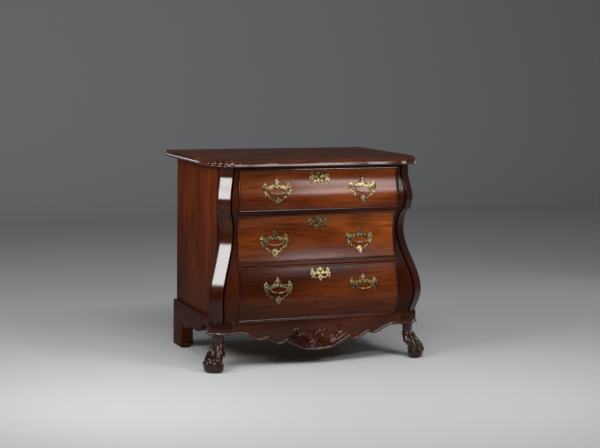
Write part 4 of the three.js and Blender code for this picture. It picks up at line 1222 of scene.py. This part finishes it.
def handle_plate(x, z, garland):
    """A back plate with its two turned posts. Without its garland it ends at the bar."""
    if garland:
        outline = closed_line([*crown_half, *garland_half])
        holes = [closed_line(large_opening)]
        chasing = [*crown_chasing, *garland_chasing]
    else:
        outline = closed_line([*crown_half[:-1], *reversed(large_opening[:bar_points])])
        holes = []
        chasing = crown_chasing
    holes += [smooth_loop(hole) for hole in mirrored_lines(eye_holes)]
    flat = fretted(outline, holes, plate_thick, plate_soft)
    lines = [chased(line, plate_ridge, plate_thick) for line in mirrored_lines(chasing)]
    face = front_y(z) - pin_room - plate_thick
    posts = [turned(post_rows, x + apart, z, face, 16) for apart in (-post_apart, post_apart)]
    return together(on_front(together(flat, *lines), x, z, plate_thick), *posts)


for drawer, side, x, z in handle_places:
    plate = handle_plate(x, z, garland=(drawer, side) != ("bottom", "right"))
    made("handle_plate_" + drawer + "_" + side, plate, plate_metal, drawer + "_drawer", crease=50)

# Bails. Bent brass rods that thicken to a turned knob at the middle. The two ends turn in the posts
# of the back plate, so that each bail hangs by its own weight.
bail_metal = cast_brass("bail brass", ((0.090, 0.062, 0.024), (0.460, 0.360, 0.185)), 0.34, 0.12)
bail_half = [
    (0, -0.0230), (0.008, -0.0226), (0.017, -0.0205), (0.0265, -0.0179), (0.034, -0.0110),
    (0.0400, -0.0038), (0.0444, -0.0002), (0.0474, 0), (0.0502, 0),
]
bail_end_rows = [
    (0, 0.0018), (0.06, 0.0020), (0.09, 0.0023), (0.13, 0.0019), (0.30, 0.0021), (0.42, 0.0024),
    (0.445, 0.0032), (0.46, 0.0024), (0.475, 0.0030),
]
bail_other_end = [(1 - share, radius) for share, radius in reversed(bail_end_rows)]
bail_radius = fair_curve([*bail_end_rows, (0.5, 0.0037), *bail_other_end])
for drawer, side, x, z in handle_places:
    pivot_y = front_y(z) - pin_room - plate_thick - pivot_reach
    path = through([(x + a, pivot_y, z + b) for a, b in both_halves(bail_half)], 7)
    rod = sweep(path, lambda share: (bail_radius(share),) * 2, circle(12))
    made("bail_" + drawer + "_" + side, rod, bail_metal, drawer + "_" + side + "_bail", crease=60)

# Floor of the studio. A plain sheet of pale paper that lies flat under the chest and curves up far
# behind it, so that the photograph's view shows no edge of it.
floor_half = 9.0
bend_start, bend_radius = 4.6, 2.2
bend_steps = 24
bend = [math.pi / 2 * n / bend_steps for n in range(bend_steps + 1)]
flat_places = (-floor_half, -3.0, 0, 3.0)
wall_heights = (4.0, 7.0)
sheet_line = [(y, 0) for y in flat_places]
for turn in bend:
    sheet_line.append((bend_start + bend_radius * math.sin(turn), bend_radius * (1 - math.cos(turn))))
sheet_line += [(bend_start + bend_radius, z) for z in wall_heights]
sheet_points = [(x, y, z) for y, z in sheet_line for x in (-floor_half, floor_half)]
sheet_faces = [(2 * i, 2 * i + 1, 2 * i + 3, 2 * i + 2) for i in range(len(sheet_line) - 1)]
sheet_mesh = bpy.data.meshes.new("paper sheet")
sheet_mesh.from_pydata(sheet_points, [], sheet_faces)
sheet_mesh.shade_smooth()
paper, paper_tree = new_finish("pale paper")
paper_look = {"Base Color": (0.47, 0.475, 0.48, 1), "Roughness": 0.85, "Specular IOR Level": 0.1}
fed(paper_tree.nodes["Principled BSDF"], paper_look)
sheet_mesh.materials.append(paper)
set_down("paper_sheet", sheet_mesh)

# Studio light: soft boxes overhead and to both sides, four smaller strip boxes round the chest that
# draw the bands of light on its polish, and a dim room.
world = bpy.data.worlds.new("room")
scene.world = world
world.use_nodes = True
fed(world.node_tree.nodes["Background"], {"Color": (0.95, 0.97, 1.0, 1), "Strength": 0.10})


def aimed(place, way):
    """Stands something at a place and turns it to look some way."""
    return Matrix.Translation(place) @ way.to_track_quat("-Z", "Y").to_matrix().to_4x4()


def soft_box(name, place, aim, width, height, power):
    """A lamp with an even face, aimed at a place on the chest, that the camera does not see."""
    lamp = bpy.data.lights.new(name, "AREA")
    lamp.shape = "RECTANGLE"
    lamp.size = width
    lamp.size_y = height
    lamp.energy = power
    box = set_down(name, lamp)
    box.matrix_world = aimed(Vector(place), Vector(aim) - Vector(place))
    box.visible_camera = False


soft_box("overhead box", (-0.6, -2.6, 4.3), (0, 0, 0.4), 2.4, 1.8, 96)
soft_box("right box", (1.15, -2.15, 3.2), (0, -0.2, 0.8), 1.2, 0.6, 28)
soft_box("left box", (-3.4, -0.5, 2.3), (-0.4, -0.1, 0.4), 1.2, 1.2, 45)
soft_box("left strip box", (-1.23, -0.87, 1.10), (-0.43, -0.27, 0.60), 0.26, 0.42, 10.6)
soft_box("front strip box", (0.70, -1.47, 1.155), (0.15, -0.27, 0.72), 0.56, 0.14, 7.6)
soft_box("rear strip box", (-0.94, 3.2, 1.56), (-0.46, 0.1, 0.83), 0.26, 0.26, 1.0)
soft_box("right strip box", (2.65, 0.85, 1.25), (0.45, -0.25, 0.82), 0.50, 0.35, 4.0)

# Camera at the photograph's place: low, to the left of the front, on a long lens. Its turn, dip and
# roll are angles, and its shift keeps the photograph's frame.
camera_data = bpy.data.cameras.new("camera")
camera_data.lens = 86.94
camera_data.shift_x = -0.0289
camera_data.shift_y = 0.0019
camera = set_down("camera", camera_data)
camera_place = Vector((-2.3035, -5.5951, 1.2829))
camera_turn, camera_dip, camera_roll = 0.40721, 0.12221, 0.01595
level = math.cos(camera_dip)
facing = Vector((math.sin(camera_turn) * level, math.cos(camera_turn) * level, -math.sin(camera_dip)))
camera.matrix_world = aimed(camera_place, facing) @ Matrix.Rotation(camera_roll, 4, "Z")
scene.camera = camera
scene.view_settings.view_transform = "Standard"
